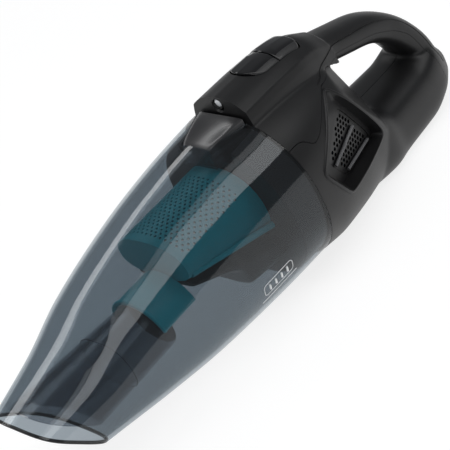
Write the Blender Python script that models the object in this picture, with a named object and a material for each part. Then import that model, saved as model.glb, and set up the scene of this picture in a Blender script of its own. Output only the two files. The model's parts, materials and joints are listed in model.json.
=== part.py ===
"""Cordless handheld vacuum cleaner, built as separate pieces.

Sizes are in millimetres in a workshop frame whose X = 0 is the seam between dust cup
and motor housing, with +X towards the handle and the belly on Z = 0.  Meshes are
written in metres, and one empty puts the origin under the middle of the whole tool.
"""
import math

import bmesh
import bpy
import numpy as np

MM = 0.001

# ---- driving sizes, in mm -----------------------------------------------------------
NOSE_LENGTH = 235.0        # seam to the tip of the nozzle's upper lip
TAIL_LENGTH = 185.0        # seam to the back of the handle
AXIS_Z = 60.0              # height of the motor axis over the belly
SEAM_HALF_WIDTH = 60.0     # half width of the barrel at the seam
SPINE_TOP = 135.0          # height of the button ridge at its front
WALL = 2.5                 # wall of the housings
CUP_WALL = 2.2             # wall of the dust cup
GAP = 0.4                  # clearance between neighbouring pieces
SLIDE_GAP = 0.7            # clearance round pieces that slide

COLLAR_LENGTH = 24.0       # filter collar, ahead of the seam
CAGE_LENGTH = 73.0         # filter cage, ahead of the collar
CAGE_HALF_WIDTH = 34.0
CAGE_WALL = 1.8
CAGE_TOP = 98.0
HEPA_POINTS = 44           # crests and valleys of the pleats together
COLLAR_INNER = 40.0        # radius of the bore behind the collar's plate
DUCT_HALF_WIDTH = 20.5     # inlet duct, outside
DUCT_HALF_HEIGHT = 19.0
DUCT_WALL = 1.8
DUCT_END = -120.0          # where the duct stops inside the cup
DUCT_Z = 48.5              # height of the duct's middle at its inner end
HOOD_OVERLAP = 8.0         # the hood reaches this far over the duct's end
HOOD_EDGE = 14.0           # its sides stop this many degrees above the duct's middle

FAN_RADIUS = 38.0
FAN_WIDTH = 13.0
MOTOR_RADIUS = 17.5
MOTOR_LENGTH = 44.0
MOTOR_X = 36.0
SHAFT_RADIUS = 2.0
CELL_RADIUS = 9.1
CELL_LENGTH = 65.0
CELL_PITCH = 2 * CELL_RADIUS + GAP
CELL_X = 33.0              # front of the four cells under the motor
CELL_FLOOR = WALL + 0.6      # the lower cells lie this high over the belly
REAR_CELL_X = 101.0        # front of the two cells under the handle
REAR_CELL_FLOOR = 8.0

HANDLE_HALF_WIDTH = 16.5   # of the grip's section, across
HANDLE_HALF_DEPTH = 11.0
BUTTON_HALF_WIDTH = 15.0
BUTTON_PROUD = 1.2         # how far the buttons stand over the ridge
BUTTON_TRAVEL = 1.5
POWER_X = (26.0, 50.4)     # front and rear end of the power button
TURBO_X = (51.2, 74.0)
TAB_X = (-29.0, -1.0)      # release button, front and rear
TAB_HALF_WIDTH = (13.0, 21.0)   # at its front and at its rear
TAB_FLOOR = 106.5          # height of the pocket under the release button
TAB_TRAVEL = 1.5

RING = 40                  # points round a large section
DRAWN_NOSE = 235.0         # the cup's curves below are drawn for this length
DRAWN_TAIL = 185.0         # and the housing's curves for this one
BARREL_END = 95.0          # the housing in front of this keeps its length when the tail changes

SWITCH_BOARD_Z = 107.0
SWITCH_TOP = 113.0
LAMP_Z = 129.4
LAMP_RADIUS = 3.2
VENT_FLOOR = (48.0, 33.0)     # Y of the recess floor at its front and at its rear
VENT_SCALE = 0.66
VENT_SHIFT = (6.0, -5.0)   # the window's middle from the recess's middle, in x and z
VENT_SLOTS = [(13.0, -8, 11), (6.5, -17, 14), (0.0, -17, 17), (-6.5, -14, 20), (-12.0, -10, 21)]
                           # height over the window's middle, and the slot's two ends
SHOULDER = [(62.6, 102.5), (89.1, 47.5)]   # rear edge of the barrel's flank, x and z
SHOULDER_Y = 40.0          # at this half width
SHOULDER_RUN = 0.75        # and it runs back this much for each mm towards the middle
JACK_X, JACK_Z, JACK_RADIUS = 128.0, 26.0, 4.0
SCREWS = [(15.0, 9.5), (158.0, 34.0), (86.0, 84.0)]   # x and z of the housing screws
SCREW_DEPTH = 9.0


# ---- small tools --------------------------------------------------------------------
def clear_scene():
    for old in list(bpy.data.objects):
        bpy.data.objects.remove(old, do_unlink=True)


def material(name, color, roughness, metallic=0.0, alpha=1.0):
    mat = bpy.data.materials.new(name)
    mat.use_nodes = True
    shader = mat.node_tree.nodes["Principled BSDF"]
    shader.inputs["Base Color"].default_value = (*color, 1.0)
    shader.inputs["Roughness"].default_value = roughness
    shader.inputs["Metallic"].default_value = metallic
    shader.inputs["Alpha"].default_value = alpha
    return mat


def mesh_object(name, verts, faces, mat=None):
    """Object from points in mm and faces; normals are made to point outwards."""
    mesh = bpy.data.meshes.new(name)
    mesh.from_pydata([tuple(float(c) * MM for c in v) for v in verts], [], faces)
    work = bmesh.new()
    work.from_mesh(mesh)
    bmesh.ops.recalc_face_normals(work, faces=work.faces)
    work.to_mesh(mesh)
    work.free()
    obj = bpy.data.objects.new(name, mesh)
    bpy.context.collection.objects.link(obj)
    if mat:
        mesh.materials.append(mat)
    return obj


def loft(name, rings, mat=None, closed_path=False):
    """Solid through rings of equal point count; the ends are capped unless it is a tube."""
    count = len(rings[0])
    verts = [p for ring in rings for p in ring]
    last = len(rings) if closed_path else len(rings) - 1
    faces = []
    for i in range(last):
        a, b = i * count, ((i + 1) % len(rings)) * count
        for j in range(count):
            k = (j + 1) % count
            faces.append((a + j, a + k, b + k, b + j))
    if not closed_path:
        faces.append(tuple(range(count)))
        faces.append(tuple(range((len(rings) - 1) * count, len(rings) * count)))
    return mesh_object(name, verts, faces, mat)


def smooth_curve(x, xs, ys):
    """Monotone cubic through the points (xs, ys), so a profile never overshoots."""
    x, xs, ys = np.asarray(x, float), np.asarray(xs, float), np.asarray(ys, float)
    step = np.diff(xs)
    slope = np.diff(ys) / step
    tangent = np.zeros_like(ys)
    same = slope[:-1] * slope[1:] > 0
    tangent[1:-1][same] = 2 * slope[:-1][same] * slope[1:][same] / (slope[:-1] + slope[1:])[same]
    tangent[0], tangent[-1] = slope[0], slope[-1]
    i = np.clip(np.searchsorted(xs, x) - 1, 0, len(xs) - 2)
    t = np.clip((x - xs[i]) / step[i], 0, 1)
    a, b = ys[i], ys[i + 1]
    ta, tb = tangent[i] * step[i], tangent[i + 1] * step[i]
    return (2 * t**3 - 3 * t**2 + 1) * a + (t**3 - 2 * t**2 + t) * ta \
        + (3 * t**2 - 2 * t**3) * b + (t**3 - t**2) * tb


def angles(count=RING):
    return np.linspace(0, 2 * math.pi, count, endpoint=False)


def superellipse(angle, half_width, top, bottom, middle, power):
    """Y and Z of an oval whose corners grow squarer with power; top and bottom are heights."""
    c, s = np.cos(angle), np.sin(angle)
    y = half_width * np.sign(c) * np.abs(c) ** (2 / power)
    rise = np.where(s >= 0, top - middle, middle - bottom)
    z = middle + rise * np.sign(s) * np.abs(s) ** (2 / power)
    return y, z


def box(name, x, y, z, mat=None):
    """Block between pairs of coordinates."""
    verts = [(a, b, c) for a in x for b in y for c in z]
    faces = [(0, 1, 3, 2), (4, 6, 7, 5), (0, 4, 5, 1), (2, 3, 7, 6), (0, 2, 6, 4), (1, 5, 7, 3)]
    return mesh_object(name, verts, faces, mat)


def turned(name, profile, mat=None, count=26, centre=(0.0, AXIS_Z)):
    """Solid of revolution about a line along X; profile is a closed loop of (x, radius)."""
    turn = angles(count)
    y0, z0 = centre
    rings = [[(x, y0 + r * math.cos(a), z0 + r * math.sin(a)) for x, r in profile] for a in turn]
    return loft(name, rings, mat, closed_path=True)


def rod_x(name, x, radius, mat=None, count=24, centre=(0.0, AXIS_Z)):
    """Plain cylinder along X."""
    y0, z0 = centre
    rings = [[(a, y0 + radius * math.cos(t), z0 + radius * math.sin(t)) for t in angles(count)] for a in x]
    return loft(name, rings, mat)


def stack_x(name, steps, mat=None, count=26):
    """Solid on the motor axis from pairs of (x, radius), closed at both ends."""
    rings = [[(x, r * math.cos(t), AXIS_Z + r * math.sin(t)) for t in angles(count)] for x, r in steps]
    return loft(name, rings, mat)


def rod(name, start, end, radius, mat=None, count=16, end_radius=None):
    """Cylinder or cone between two points."""
    start, end = np.array(start, float), np.array(end, float)
    along = (end - start) / np.linalg.norm(end - start)
    side = np.cross(along, (0, 0, 1) if abs(along[2]) < 0.9 else (1, 0, 0))
    side /= np.linalg.norm(side)
    up = np.cross(along, side)
    tip = radius if end_radius is None else end_radius
    rings = []
    for point, size in ((start, radius), (end, tip)):
        rings.append([point + size * (math.cos(t) * side + math.sin(t) * up) for t in angles(count)])
    return loft(name, rings, mat)


def prism(name, outline, y, mat=None):
    """Outline of (x, z) points carried along Y between two values."""
    rings = [[(px, side, pz) for px, pz in outline] for side in y]
    return loft(name, rings, mat)


def combine(obj, other, operation):
    """Boolean of two closed solids, kept in obj; the other object is used up.

    EXACT leaves open edges where the handle, deck and barrel of the housing meet,
    so every Boolean here uses the solver for closed meshes.
    """
    tool = obj.modifiers.new("combine", "BOOLEAN")
    tool.operation = operation
    tool.solver = "MANIFOLD"
    tool.object = other
    graph = bpy.context.evaluated_depsgraph_get()
    graph.update()
    result = bpy.data.meshes.new_from_object(obj.evaluated_get(graph))
    obj.modifiers.remove(tool)
    old = obj.data
    obj.data = result
    bpy.data.meshes.remove(old)
    bpy.data.objects.remove(other, do_unlink=True)
    return obj


def cut(obj, *others):
    for other in others:
        combine(obj, other, "DIFFERENCE")
    return obj


def join(obj, *others):
    for other in others:
        combine(obj, other, "UNION")
    return obj


def keep_inside(obj, other):
    return combine(obj, other, "INTERSECT")


def twin(obj, name):
    """Separate copy of an object, for a second cut of the same shape."""
    copy = obj.copy()
    copy.data = obj.data.copy()
    copy.name = name
    bpy.context.collection.objects.link(copy)
    return copy


def tidy_mesh(obj, mat, sharp=32.0):
    """Give a finished piece its one material and shade its round faces smooth."""
    obj.data.materials.clear()
    obj.data.materials.append(mat)
    for polygon in obj.data.polygons:
        polygon.material_index = 0
    obj.data.shade_smooth()
    obj.data.set_sharp_from_angle(angle=math.radians(sharp))
    return obj


# ---- materials ----------------------------------------------------------------------
def make_materials():
    return {
        "housing": material("black_housing", (0.012, 0.012, 0.013), 0.5),
        "gloss": material("gloss_black", (0.006, 0.006, 0.007), 0.12),
        "smoke": material("smoked_clear", (0.11, 0.14, 0.16), 0.08, alpha=0.45),
        "duct": material("dark_smoked", (0.03, 0.04, 0.045), 0.12, alpha=0.7),
        "teal": material("teal_plastic", (0.004, 0.10, 0.125), 0.35),
        "rubber": material("black_rubber", (0.01, 0.01, 0.01), 0.8),
        "paper": material("filter_paper", (0.75, 0.75, 0.7), 0.9),
        "steel": material("plated_steel", (0.6, 0.6, 0.6), 0.3, 1.0),
        "cell": material("cell_wrap", (0.02, 0.12, 0.35), 0.4),
        "board": material("circuit_board", (0.01, 0.12, 0.05), 0.5),
        "lens": material("clear_lens", (0.8, 0.82, 0.85), 0.05, alpha=0.6),
        "fan": material("grey_nylon", (0.25, 0.25, 0.26), 0.5),
    }


# ---- dust cup -----------------------------------------------------------------------
CUP_X = (-235, -190, -150, -110, -70, -30, 0)
CUP_WIDE = (0.525, 0.705, 0.833, 0.917, 0.967, 0.992, 1.0)     # share of the seam half width
CUP_TOP = (69.5, 79.0, 94.5, 105.6, 114.0, 119.0, 120.8)
CUP_BOTTOM = (36.0, 29.0, 20.6, 12.7, 7.0, 2.6, 0.6)
CUP_POWER = (3.6, 3.0, 2.7, 2.5, 2.35, 2.25, 2.2)
LIP_REACH = 19.5           # the upper lip leads the middle of the slanted mouth by this
MOUTH_X = -(NOSE_LENGTH - LIP_REACH)   # where the mouth crosses the cup's middle
MOUTH_SLANT = 0.98         # forward reach of the lip for each mm of height
SLANT_START = -130.0       # the rings begin to lean here


def cup_section(x, angle, inset=0.0):
    """Y and Z on the cup's skin, x may differ from point to point of a leaning ring."""
    scale = NOSE_LENGTH / DRAWN_NOSE
    station = x / scale
    wide = SEAM_HALF_WIDTH * smooth_curve(station, CUP_X, CUP_WIDE) - inset
    top = smooth_curve(station, CUP_X, CUP_TOP) - inset
    bottom = smooth_curve(station, CUP_X, CUP_BOTTOM) + inset
    power = smooth_curve(station, CUP_X, CUP_POWER)
    return superellipse(angle, wide, top, bottom, (top + bottom) / 2, power)


def cup_ring(x, inset=0.0, count=RING):
    """Ring of the cup's skin that leans forward more and more towards the mouth."""
    angle = angles(count)
    start = SLANT_START * NOSE_LENGTH / DRAWN_NOSE
    lean = MOUTH_SLANT * min(1.0, max(0.0, (x - start) / (MOUTH_X - start))) ** 1.5
    y, z = cup_section(np.full(count, x), angle, inset)
    for _ in range(6):
        middle = (z.max() + z.min()) / 2
        place = x - lean * (z - middle)
        y, z = cup_section(place, angle, inset)
    return [(place[i], y[i], z[i]) for i in range(count)]


def make_dust_cup(mats):
    stations = list(np.linspace(0, MOUTH_X, 11))
    outside = [cup_ring(x) for x in stations]
    inside = [cup_ring(x, CUP_WALL) for x in reversed(stations)]
    cup = loft("dust_cup", outside + inside, closed_path=True)
    # pocket for the release button: a floor under it and a notch open to the rear
    shelf = tab_block("shelf", 3.0, (TAB_FLOOR - 2, 130.0), -0.2)
    skin = loft("skin", [cup_ring(x, 0.4, 40) for x in (-60, -30, -0.1)])
    keep_inside(shelf, skin)
    join(cup, shelf)
    cut(cup, tab_block("notch", GAP, (TAB_FLOOR, 140), 6.0))
    return tidy_mesh(cup, mats["smoke"])


def tab_block(name, grow, z, rear_end):
    """Block with the release button's trapezoid plan, grown by a clearance all round."""
    front, rear = TAB_X
    slope = (TAB_HALF_WIDTH[1] - TAB_HALF_WIDTH[0]) / (rear - front)
    x0, x1 = front - grow, rear_end
    w0 = TAB_HALF_WIDTH[0] + grow - slope * grow
    w1 = w0 + slope * (x1 - x0)
    return loft(name, [[(x0, -w0, h), (x0, w0, h), (x1, w1, h), (x1, -w1, h)] for h in z])


def make_release_button(mats):
    """Wedge-shaped thumb button that stands a little proud of the cup."""
    front, rear = TAB_X
    low = TAB_FLOOR + 4.0
    outline = [(front, low), (rear, low), (rear, 122.4), (rear - 8, 121.6), (front + 3, 118.6), (front, 117.0)]
    button = prism("release_button", outline, (-40, 40))
    keep_inside(button, tab_block("plan", 0.0, (low - 1, 130), rear + 1))
    return tidy_mesh(button, mats["gloss"])


def make_latch_spring(mats):
    """Bent leaf spring between the pocket floor and the button."""
    low, high = TAB_FLOOR + 0.5, TAB_FLOOR + 3.6
    a, b = TAB_X[0] + 4, TAB_X[1] - 5
    middle = (a + b) / 2
    outline = [(a, low), (a + 3, low), (middle, high - 0.6), (b - 3, low), (b, low),
               (b, low + 0.5), (b - 2.6, low + 0.5), (middle, high), (a + 2.6, low + 0.5), (a, low + 0.5)]
    return tidy_mesh(prism("latch_spring", outline, (-4, 4)), mats["steel"])


# ---- inlet duct and its flap --------------------------------------------------------
def duct_ring(x, inset, count=32):
    """Ring of the duct: oval at its inner end, widening to the mouth at the nozzle."""
    t = (x - DUCT_END) / (MOUTH_X - DUCT_END)
    angle = angles(count)
    grow = max(0.0, (t - 0.72) / 0.28) ** 2
    cup_y, cup_z = cup_section(np.full(count, MOUTH_X), angle, CUP_WALL + GAP + 0.6)
    top, bottom = DUCT_Z + DUCT_HALF_HEIGHT, DUCT_Z - DUCT_HALF_HEIGHT
    y, z = superellipse(angle, DUCT_HALF_WIDTH, top, bottom, DUCT_Z, 2.2)
    middle = (cup_z.max() + cup_z.min()) / 2
    lift = (middle - DUCT_Z) * t
    shrink = (cup_z.max() - cup_z.min()) / 2 / DUCT_HALF_HEIGHT
    fit = 1 + (min(1.0, shrink * 0.97) - 1) * t
    y, z = y * fit, DUCT_Z + lift + (z - DUCT_Z) * fit
    y = y * (1 - grow) + cup_y * grow
    z = z * (1 - grow) + cup_z * grow
    size_y, size_z = np.abs(y).max(), (z.max() - z.min()) / 2
    centre = (z.max() + z.min()) / 2
    y = y * (size_y - inset) / size_y
    z = centre + (z - centre) * (size_z - inset) / size_z
    lean = MOUTH_SLANT * max(0.0, (t - 0.55) / 0.45) ** 1.5
    place = x - lean * (z - centre)
    return [(place[i], y[i], z[i]) for i in range(count)]


def make_inlet_duct(mats):
    mouth = MOUTH_X + 7.0
    stations = [DUCT_END, -150, -175, -190, -200, mouth]
    outside = [duct_ring(x, 0.0) for x in stations]
    inside = [duct_ring(x, DUCT_WALL) for x in reversed(stations)]
    return tidy_mesh(loft("inlet_duct", outside + inside, closed_path=True), mats["duct"])


def make_flap_valve(mats):
    """Rubber flap that hangs over the duct's inner end, from a bead along its top."""
    top = DUCT_Z + DUCT_HALF_HEIGHT
    angle = angles(32)
    rings = []
    for x in (DUCT_END + GAP, DUCT_END + GAP + 1.2):
        y, z = superellipse(angle, DUCT_HALF_WIDTH - 1, top - 1.0, DUCT_Z - DUCT_HALF_HEIGHT + 1, DUCT_Z, 2.2)
        rings.append([(x, y[i], z[i]) for i in range(32)])
    return tidy_mesh(loft("flap_valve", rings), mats["rubber"])


# ---- filter -------------------------------------------------------------------------
def make_filter_collar(mats):
    """Black ring that fills the cup's rear end and carries the filter."""
    front, rear = -COLLAR_LENGTH, -0.4
    clear = CUP_WALL + SLIDE_GAP
    outside = [cup_ring(x, clear) for x in (front, -20, rear)]
    plate = -COLLAR_LENGTH + 3.0
    hole = CAGE_HALF_WIDTH - CAGE_WALL - 3

    def oval(x, size):
        y, z = superellipse(angles(), size, AXIS_Z + size, AXIS_Z - size, AXIS_Z, 2.0)
        return [(x, y[i], z[i]) for i in range(RING)]

    inside = [oval(rear, COLLAR_INNER), oval(plate, COLLAR_INNER), oval(plate, hole), oval(front, hole)]
    collar = loft("filter_collar", outside + inside, closed_path=True)
    side = TAB_HALF_WIDTH[1] + 3.0 + GAP + SLIDE_GAP
    cut(collar, box("dip", (front - 5, 5), (-side, side), (TAB_FLOOR - 2 - SLIDE_GAP, 140)))
    return tidy_mesh(collar, mats["housing"])


def cage_ring(x, inset, count=32):
    """Half-round roof over a floor that rises towards the front."""
    front = -COLLAR_LENGTH - CAGE_LENGTH
    t = (x + COLLAR_LENGTH) / (front + COLLAR_LENGTH)
    base = 44.0 + 22.0 * t + inset
    width = CAGE_HALF_WIDTH * (1 - 0.06 * t) - inset
    top = CAGE_TOP - 1.0 * t - inset
    middle = base + (top - base) * 0.42
    angle = angles(count)
    y, z = superellipse(angle, width, top, base, middle, 2.35)
    return [(x, y[i], z[i]) for i in range(count)]


def make_filter_cage(mats):
    rear = -COLLAR_LENGTH - GAP
    front = -COLLAR_LENGTH - CAGE_LENGTH
    outside = [cage_ring(x, 0) for x in np.linspace(rear, front, 3)]
    inside = [cage_ring(x, CAGE_WALL) for x in np.linspace(front + CAGE_WALL, rear, 3)]
    count = len(outside[0])
    rings = outside + inside
    verts = [p for ring in rings for p in ring]
    faces = []
    for i in range(len(rings)):
        a, b = i * count, ((i + 1) % len(rings)) * count
        if i == len(outside) - 1:
            faces.append(tuple(range(a, a + count)))
            faces.append(tuple(range(b, b + count)))
            continue
        for j in range(count):
            k = (j + 1) % count
            faces.append((a + j, a + k, b + k, b + j))
    cage = mesh_object("filter_cage", verts, faces)
    # rows of air slots in the roof
    for row in range(3):
        x = rear - 15 - row * 15.0
        for column in range(4):
            turn = math.radians(39 + 34 * column)
            out = np.array((0, math.cos(turn), math.sin(turn)))
            base = np.array((x, 0, 62.0))
            cut(cage, rod("slot", base + out * 18, base + out * 60, 4.6, count=6))
    return tidy_mesh(cage, mats["teal"])


def make_deflector(mats):
    """Hood that turns the incoming air downwards, in front of the cage."""
    rear = -COLLAR_LENGTH - CAGE_LENGTH - GAP
    front = DUCT_END - HOOD_OVERLAP
    radius, centre = DUCT_HALF_WIDTH + 5.0, DUCT_Z - 1.0
    sweep = np.radians(np.linspace(HOOD_EDGE, 180 - HOOD_EDGE, 25))
    rings = []
    for x in (rear, (rear + front) / 2, front):
        outer = [(x, radius * math.cos(a), centre + (radius - 1) * math.sin(a)) for a in sweep]
        inner = [(x, (radius - 2) * math.cos(a), centre + (radius - 3) * math.sin(a)) for a in sweep[::-1]]
        rings.append(outer + inner)
    hood = loft("dust_deflector", rings)
    back = [(y, z) for _, y, z in rings[0][:len(sweep)]]
    join(hood, loft("back", [[(x, y, z) for y, z in back] for x in (rear - 2.0, rear)]))
    return tidy_mesh(hood, mats["teal"])


def make_filter_base(mats):
    """Black tray under the cage, deep at the collar and thin at the front."""
    front = -COLLAR_LENGTH - CAGE_LENGTH
    rings = []
    for x, low, width in ((-COLLAR_LENGTH - GAP, 21.0, 33.0), (-COLLAR_LENGTH - 20, 23.0, 33.0),
                          (-COLLAR_LENGTH - 27, 41.0, 31.0), (front + 3, 60.0, 26.0)):
        t = (x + COLLAR_LENGTH) / (front + COLLAR_LENGTH)
        top = 44.0 + 22.0 * t - GAP
        y, z = superellipse(angles(32), width, top, low, top - (top - low) * 0.3, 2.8)
        rings.append([(x, y[i], z[i]) for i in range(32)])
    return tidy_mesh(loft("filter_base", rings), mats["housing"])


def make_hepa(mats):
    """Pleated paper cartridge inside the cage."""
    front, rear = -COLLAR_LENGTH - CAGE_LENGTH + CAGE_WALL + 1, -COLLAR_LENGTH - 1.0
    rings = []
    for x in (front, rear):
        crest, valley = cage_ring(x, CAGE_WALL + 2.0, HEPA_POINTS), cage_ring(x, CAGE_WALL + 6.0, HEPA_POINTS)
        rings.append([crest[i] if i % 2 else valley[i] for i in range(HEPA_POINTS)])
    hepa = loft("hepa_filter", rings)
    cut(hepa, rod_x("core", (front + 6, 0), 8, count=16, centre=(0, 80.0)))
    return tidy_mesh(hepa, mats["paper"])


def make_filter_seal(mats):
    """Rubber ring between the filter collar and the motor bulkhead."""
    r = COLLAR_INNER - 1.0
    seal = turned("filter_seal", [(-5.0, r - 3), (-5.0, r), (-0.6, r), (-0.6, r - 3)], count=40)
    return tidy_mesh(seal, mats["rubber"])


# ---- motor housing ------------------------------------------------------------------
BODY_X = (0, 20, 50, 75, 95, 110, 150, 170, 185)
BODY_WIDE = (1.0, 0.965, 0.86, 0.73, 0.62, 0.545, 0.48, 0.43, 0.30)
BODY_BOTTOM = (0, 0, 0, 0, 0, 0, 0.3, 5.5, 14)
BELLY_CUT = 3.0            # the oval belly is sliced flat this far up
BARREL_TOP = (120.8, 119.0, 115.0, 108.0, 100.0)
DECK_X = (55, 75, 95, 107, 150, 160, 170, 185)
DECK_TOP = (84, 72, 54, 46, 45, 47, 50, 38)


def section_loft(name, xs, ring):
    return loft(name, [ring(x) for x in xs])


def tail_x(x):
    """Where a place drawn for the standard tail lies now: behind the barrel it stretches with the tail."""
    stretch = (TAIL_LENGTH - BARREL_END) / (DRAWN_TAIL - BARREL_END)
    return np.where(np.asarray(x) <= BARREL_END, x, BARREL_END + (np.asarray(x) - BARREL_END) * stretch)


def drawn_x(x):
    """The other way round: which drawn place a real place behind the barrel belongs to."""
    stretch = (TAIL_LENGTH - BARREL_END) / (DRAWN_TAIL - BARREL_END)
    return x if x <= BARREL_END else BARREL_END + (x - BARREL_END) / stretch


def body_half_width(x):
    return SEAM_HALF_WIDTH * smooth_curve(drawn_x(x), BODY_X, BODY_WIDE)


def barrel_ring(x, inset, count=RING):
    top = smooth_curve(x, (0, 20, 50, 75, 95), BARREL_TOP) - inset
    power = 2.2 + 0.5 * min(1.0, max(0.0, x / 80.0))
    bottom = 0.6 * (1 - min(1.0, x / 15.0)) + inset
    cut_off = BELLY_CUT * min(1.0, max(0.0, x) / 20.0)
    y, z = superellipse(angles(count), body_half_width(x) - inset, top, bottom - cut_off, AXIS_Z, power)
    z = np.maximum(z, bottom)
    return [(x, y[i], z[i]) for i in range(count)]


def deck_ring(x, inset, count=RING):
    drawn = drawn_x(x)
    top = smooth_curve(drawn, DECK_X, DECK_TOP) - inset
    bottom = smooth_curve(drawn, BODY_X, BODY_BOTTOM) + inset
    power = 2.7 + 0.4 * min(1.0, max(0.0, (x - 60) / 40.0))
    merge = min(1.0, max(0.0, (x - 60) / 40.0))
    narrow = 0.78 + 0.22 * merge * merge * (3 - 2 * merge)      # the deck's front end stays inside the barrel
    half, middle = body_half_width(x) * narrow - inset, (top + bottom) / 2
    y, z = superellipse(angles(count), half, top, bottom - BELLY_CUT, middle, power)
    z = np.maximum(z, bottom)
    return [(x, y[i], z[i]) for i in range(count)]


HANDLE_X = (62, 80, 97, 115, 135.8, 153, 164.2, 172, 175.5)
HANDLE_Z = (111, 107.5, 102, 96, 88.5, 76.5, 62.3, 45, 23)


def handle_solid(name, inset, count=22):
    """Grip swept along its bent centre line, every ring square to the line."""
    path = np.column_stack([tail_x(HANDLE_X), HANDLE_Z])
    fine = np.linspace(0, 1, 13)
    station = np.linspace(0, 1, len(path))
    px = smooth_curve(fine, station, path[:, 0])
    pz = smooth_curve(fine, station, path[:, 1])
    dx, dz = np.gradient(px), np.gradient(pz)
    size = np.hypot(dx, dz)
    dx, dz = dx / size, dz / size
    rings = []
    angle = angles(count)
    for i in range(len(fine)):
        spread = 1.0 + 0.25 * max(0.0, (fine[i] - 0.6) / 0.4) + 0.2 * max(0.0, (0.25 - fine[i]) / 0.25)
        y, d = superellipse(angle, HANDLE_HALF_WIDTH * spread - inset, HANDLE_HALF_DEPTH - inset,
                            -HANDLE_HALF_DEPTH + inset, 0.0, 2.6)
        rings.append([(px[i] - dz[i] * d[j], y[j], pz[i] + dx[i] * d[j]) for j in range(count)])
    return loft(name, rings)


SPINE_X = (0, 30, 56, 75, 92)
SPINE_DROP = (0.0, 1.0, 3.0, 7.0, 16.0)             # of the ridge's top, below its front
SPINE_HALF_WIDTH = (24.5, 24.0, 23.0, 20.0, 16.5)
SPINE_SIDE = 9.0                                    # the crease lies this far below the top


def spine_solid(name, inset):
    """Broad arched button ridge with a steep front face that looks ahead over the cup."""
    rings = []
    front = GAP if inset == 0 else GAP + inset
    for x in (front, 15, 30, 45, 56, 66, 75, 84, 92):
        top = SPINE_TOP - smooth_curve(x, SPINE_X, SPINE_DROP) - inset
        w = smooth_curve(x, SPINE_X, SPINE_HALF_WIDTH) - inset * 0.8
        half = [(0, top), (w * 0.35, top - 1.2), (w * 0.7, top - 4.2), (w, top - SPINE_SIDE),
                (w + 2.0, top - SPINE_SIDE - 6.0), (w + 4.0, top - SPINE_SIDE - 15.0)]
        loop = half + [(-y, z) for y, z in reversed(half[1:])]
        rings.append([(x + (1.5 if x == front and z > 118 else 0.0), y, z) for y, z in loop])
    return loft(name, rings)


def ridge_height(x):
    return SPINE_TOP - smooth_curve(x, SPINE_X, SPINE_DROP)


def shoulder_cutter(side, inset):
    """Block behind the slanted plane that ends the barrel's flank in front of the grip's loop."""
    (x0, z0), (x1, z1) = SHOULDER
    down = np.array((x1 - x0, 0.0, z1 - z0))
    inward = np.array((SHOULDER_RUN, 1.0, 0.0))
    out = np.cross(down, inward)
    out /= np.linalg.norm(out)
    start = np.array((x0, -SHOULDER_Y, z0)) - out * inset
    reach = ((-0.6, -40), (1.0, -40), (1.0, SHOULDER_Y), (-0.6, SHOULDER_Y))
    flat = [start + down * u + inward * v for u, v in reach]
    rings = [[(p[0], side * -p[1], p[2]) for p in flat], [(p[0] + 60.0, side * -p[1], p[2]) for p in flat]]
    return loft("shoulder_cutter", rings)


def body_solid(name, inset):
    """Whole outer shape of the housing; inset gives the hollow inside the wall."""
    front = GAP if inset == 0 else -3.0
    barrel_xs = [front, 15, 32, 50, 66, 80, 92 - inset]
    deck_xs = [60, 76, 90, 99, 108, 130, 150, 159, 168]
    deck_xs += [177, 182, DRAWN_TAIL] if inset == 0 else [172]
    deck_xs = [float(tail_x(x)) for x in deck_xs]
    body = section_loft(name, barrel_xs, lambda x: barrel_ring(x, inset))
    for side in (-1, 1):
        cut(body, shoulder_cutter(side, inset))
    join(body, section_loft("deck", deck_xs, lambda x: deck_ring(x, inset)))
    join(body, handle_solid("handle", inset))
    return body


# parting line between the top cover and the two lower halves, seen from the side
PARTING = [(-8.0, 98.0), (12.0, 98.0), (21.0, 88.0), (56.0, 104.5), (62.0, 99.0), (67.0, 92.0), (84.0, 91.5),
           (93.0, 97.0), (108.0, 96.0), (134.0, 88.0), (152.0, 77.0), (162.0, 66.0), (168.0, 50.0), (171.0, 30.0),
           (173.0, 6.0), (176.0, -10.0)]
KITE = [(12.5, 73.5), (54.5, 102.5), (59.5, 101.0), (86.0, 46.0), (82.0, 40.5), (31.0, 40.0), (26.0, 42.5),
        (12.0, 68.0)]


def above_parting(name):
    outline = [(float(tail_x(x)), z) for x, z in PARTING]
    outline += [(TAIL_LENGTH + 45, -10.0), (TAIL_LENGTH + 45, 170.0), (-20.0, 170.0), (-20.0, 98.0)]
    return prism(name, outline, (-90, 90))


def below_parting(name, gap):
    outline = [(float(tail_x(x)) - gap * 0.5, z - gap) for x, z in PARTING]
    outline += [(-20.0, -10.0), (-20.0, 98.0 - gap)]
    return prism(name, outline, (-90, 90))


def kite_pocket(name, side, grow, scale=1.0, floor=0.0):
    """Vent recess: the kite outline carried in from the flank to a slanted floor."""
    middle = np.mean(KITE, axis=0)
    outline = []
    for point in np.array(KITE):
        away = point - middle
        length = np.linalg.norm(away)
        shift = np.array(VENT_SHIFT) if scale < 1 else 0.0
        outline.append(middle + shift + away * (scale + grow / length))
    rings = []
    for deep in (True, False):
        ring = []
        for x, z in outline:
            y = VENT_FLOOR[0] + (VENT_FLOOR[1] - VENT_FLOOR[0]) * (x - KITE[0][0]) / (KITE[4][0] - KITE[0][0])
            ring.append((x, side * (y - floor - grow if deep else 80.0), z))
        rings.append(ring)
    return loft(name, rings)


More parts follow.
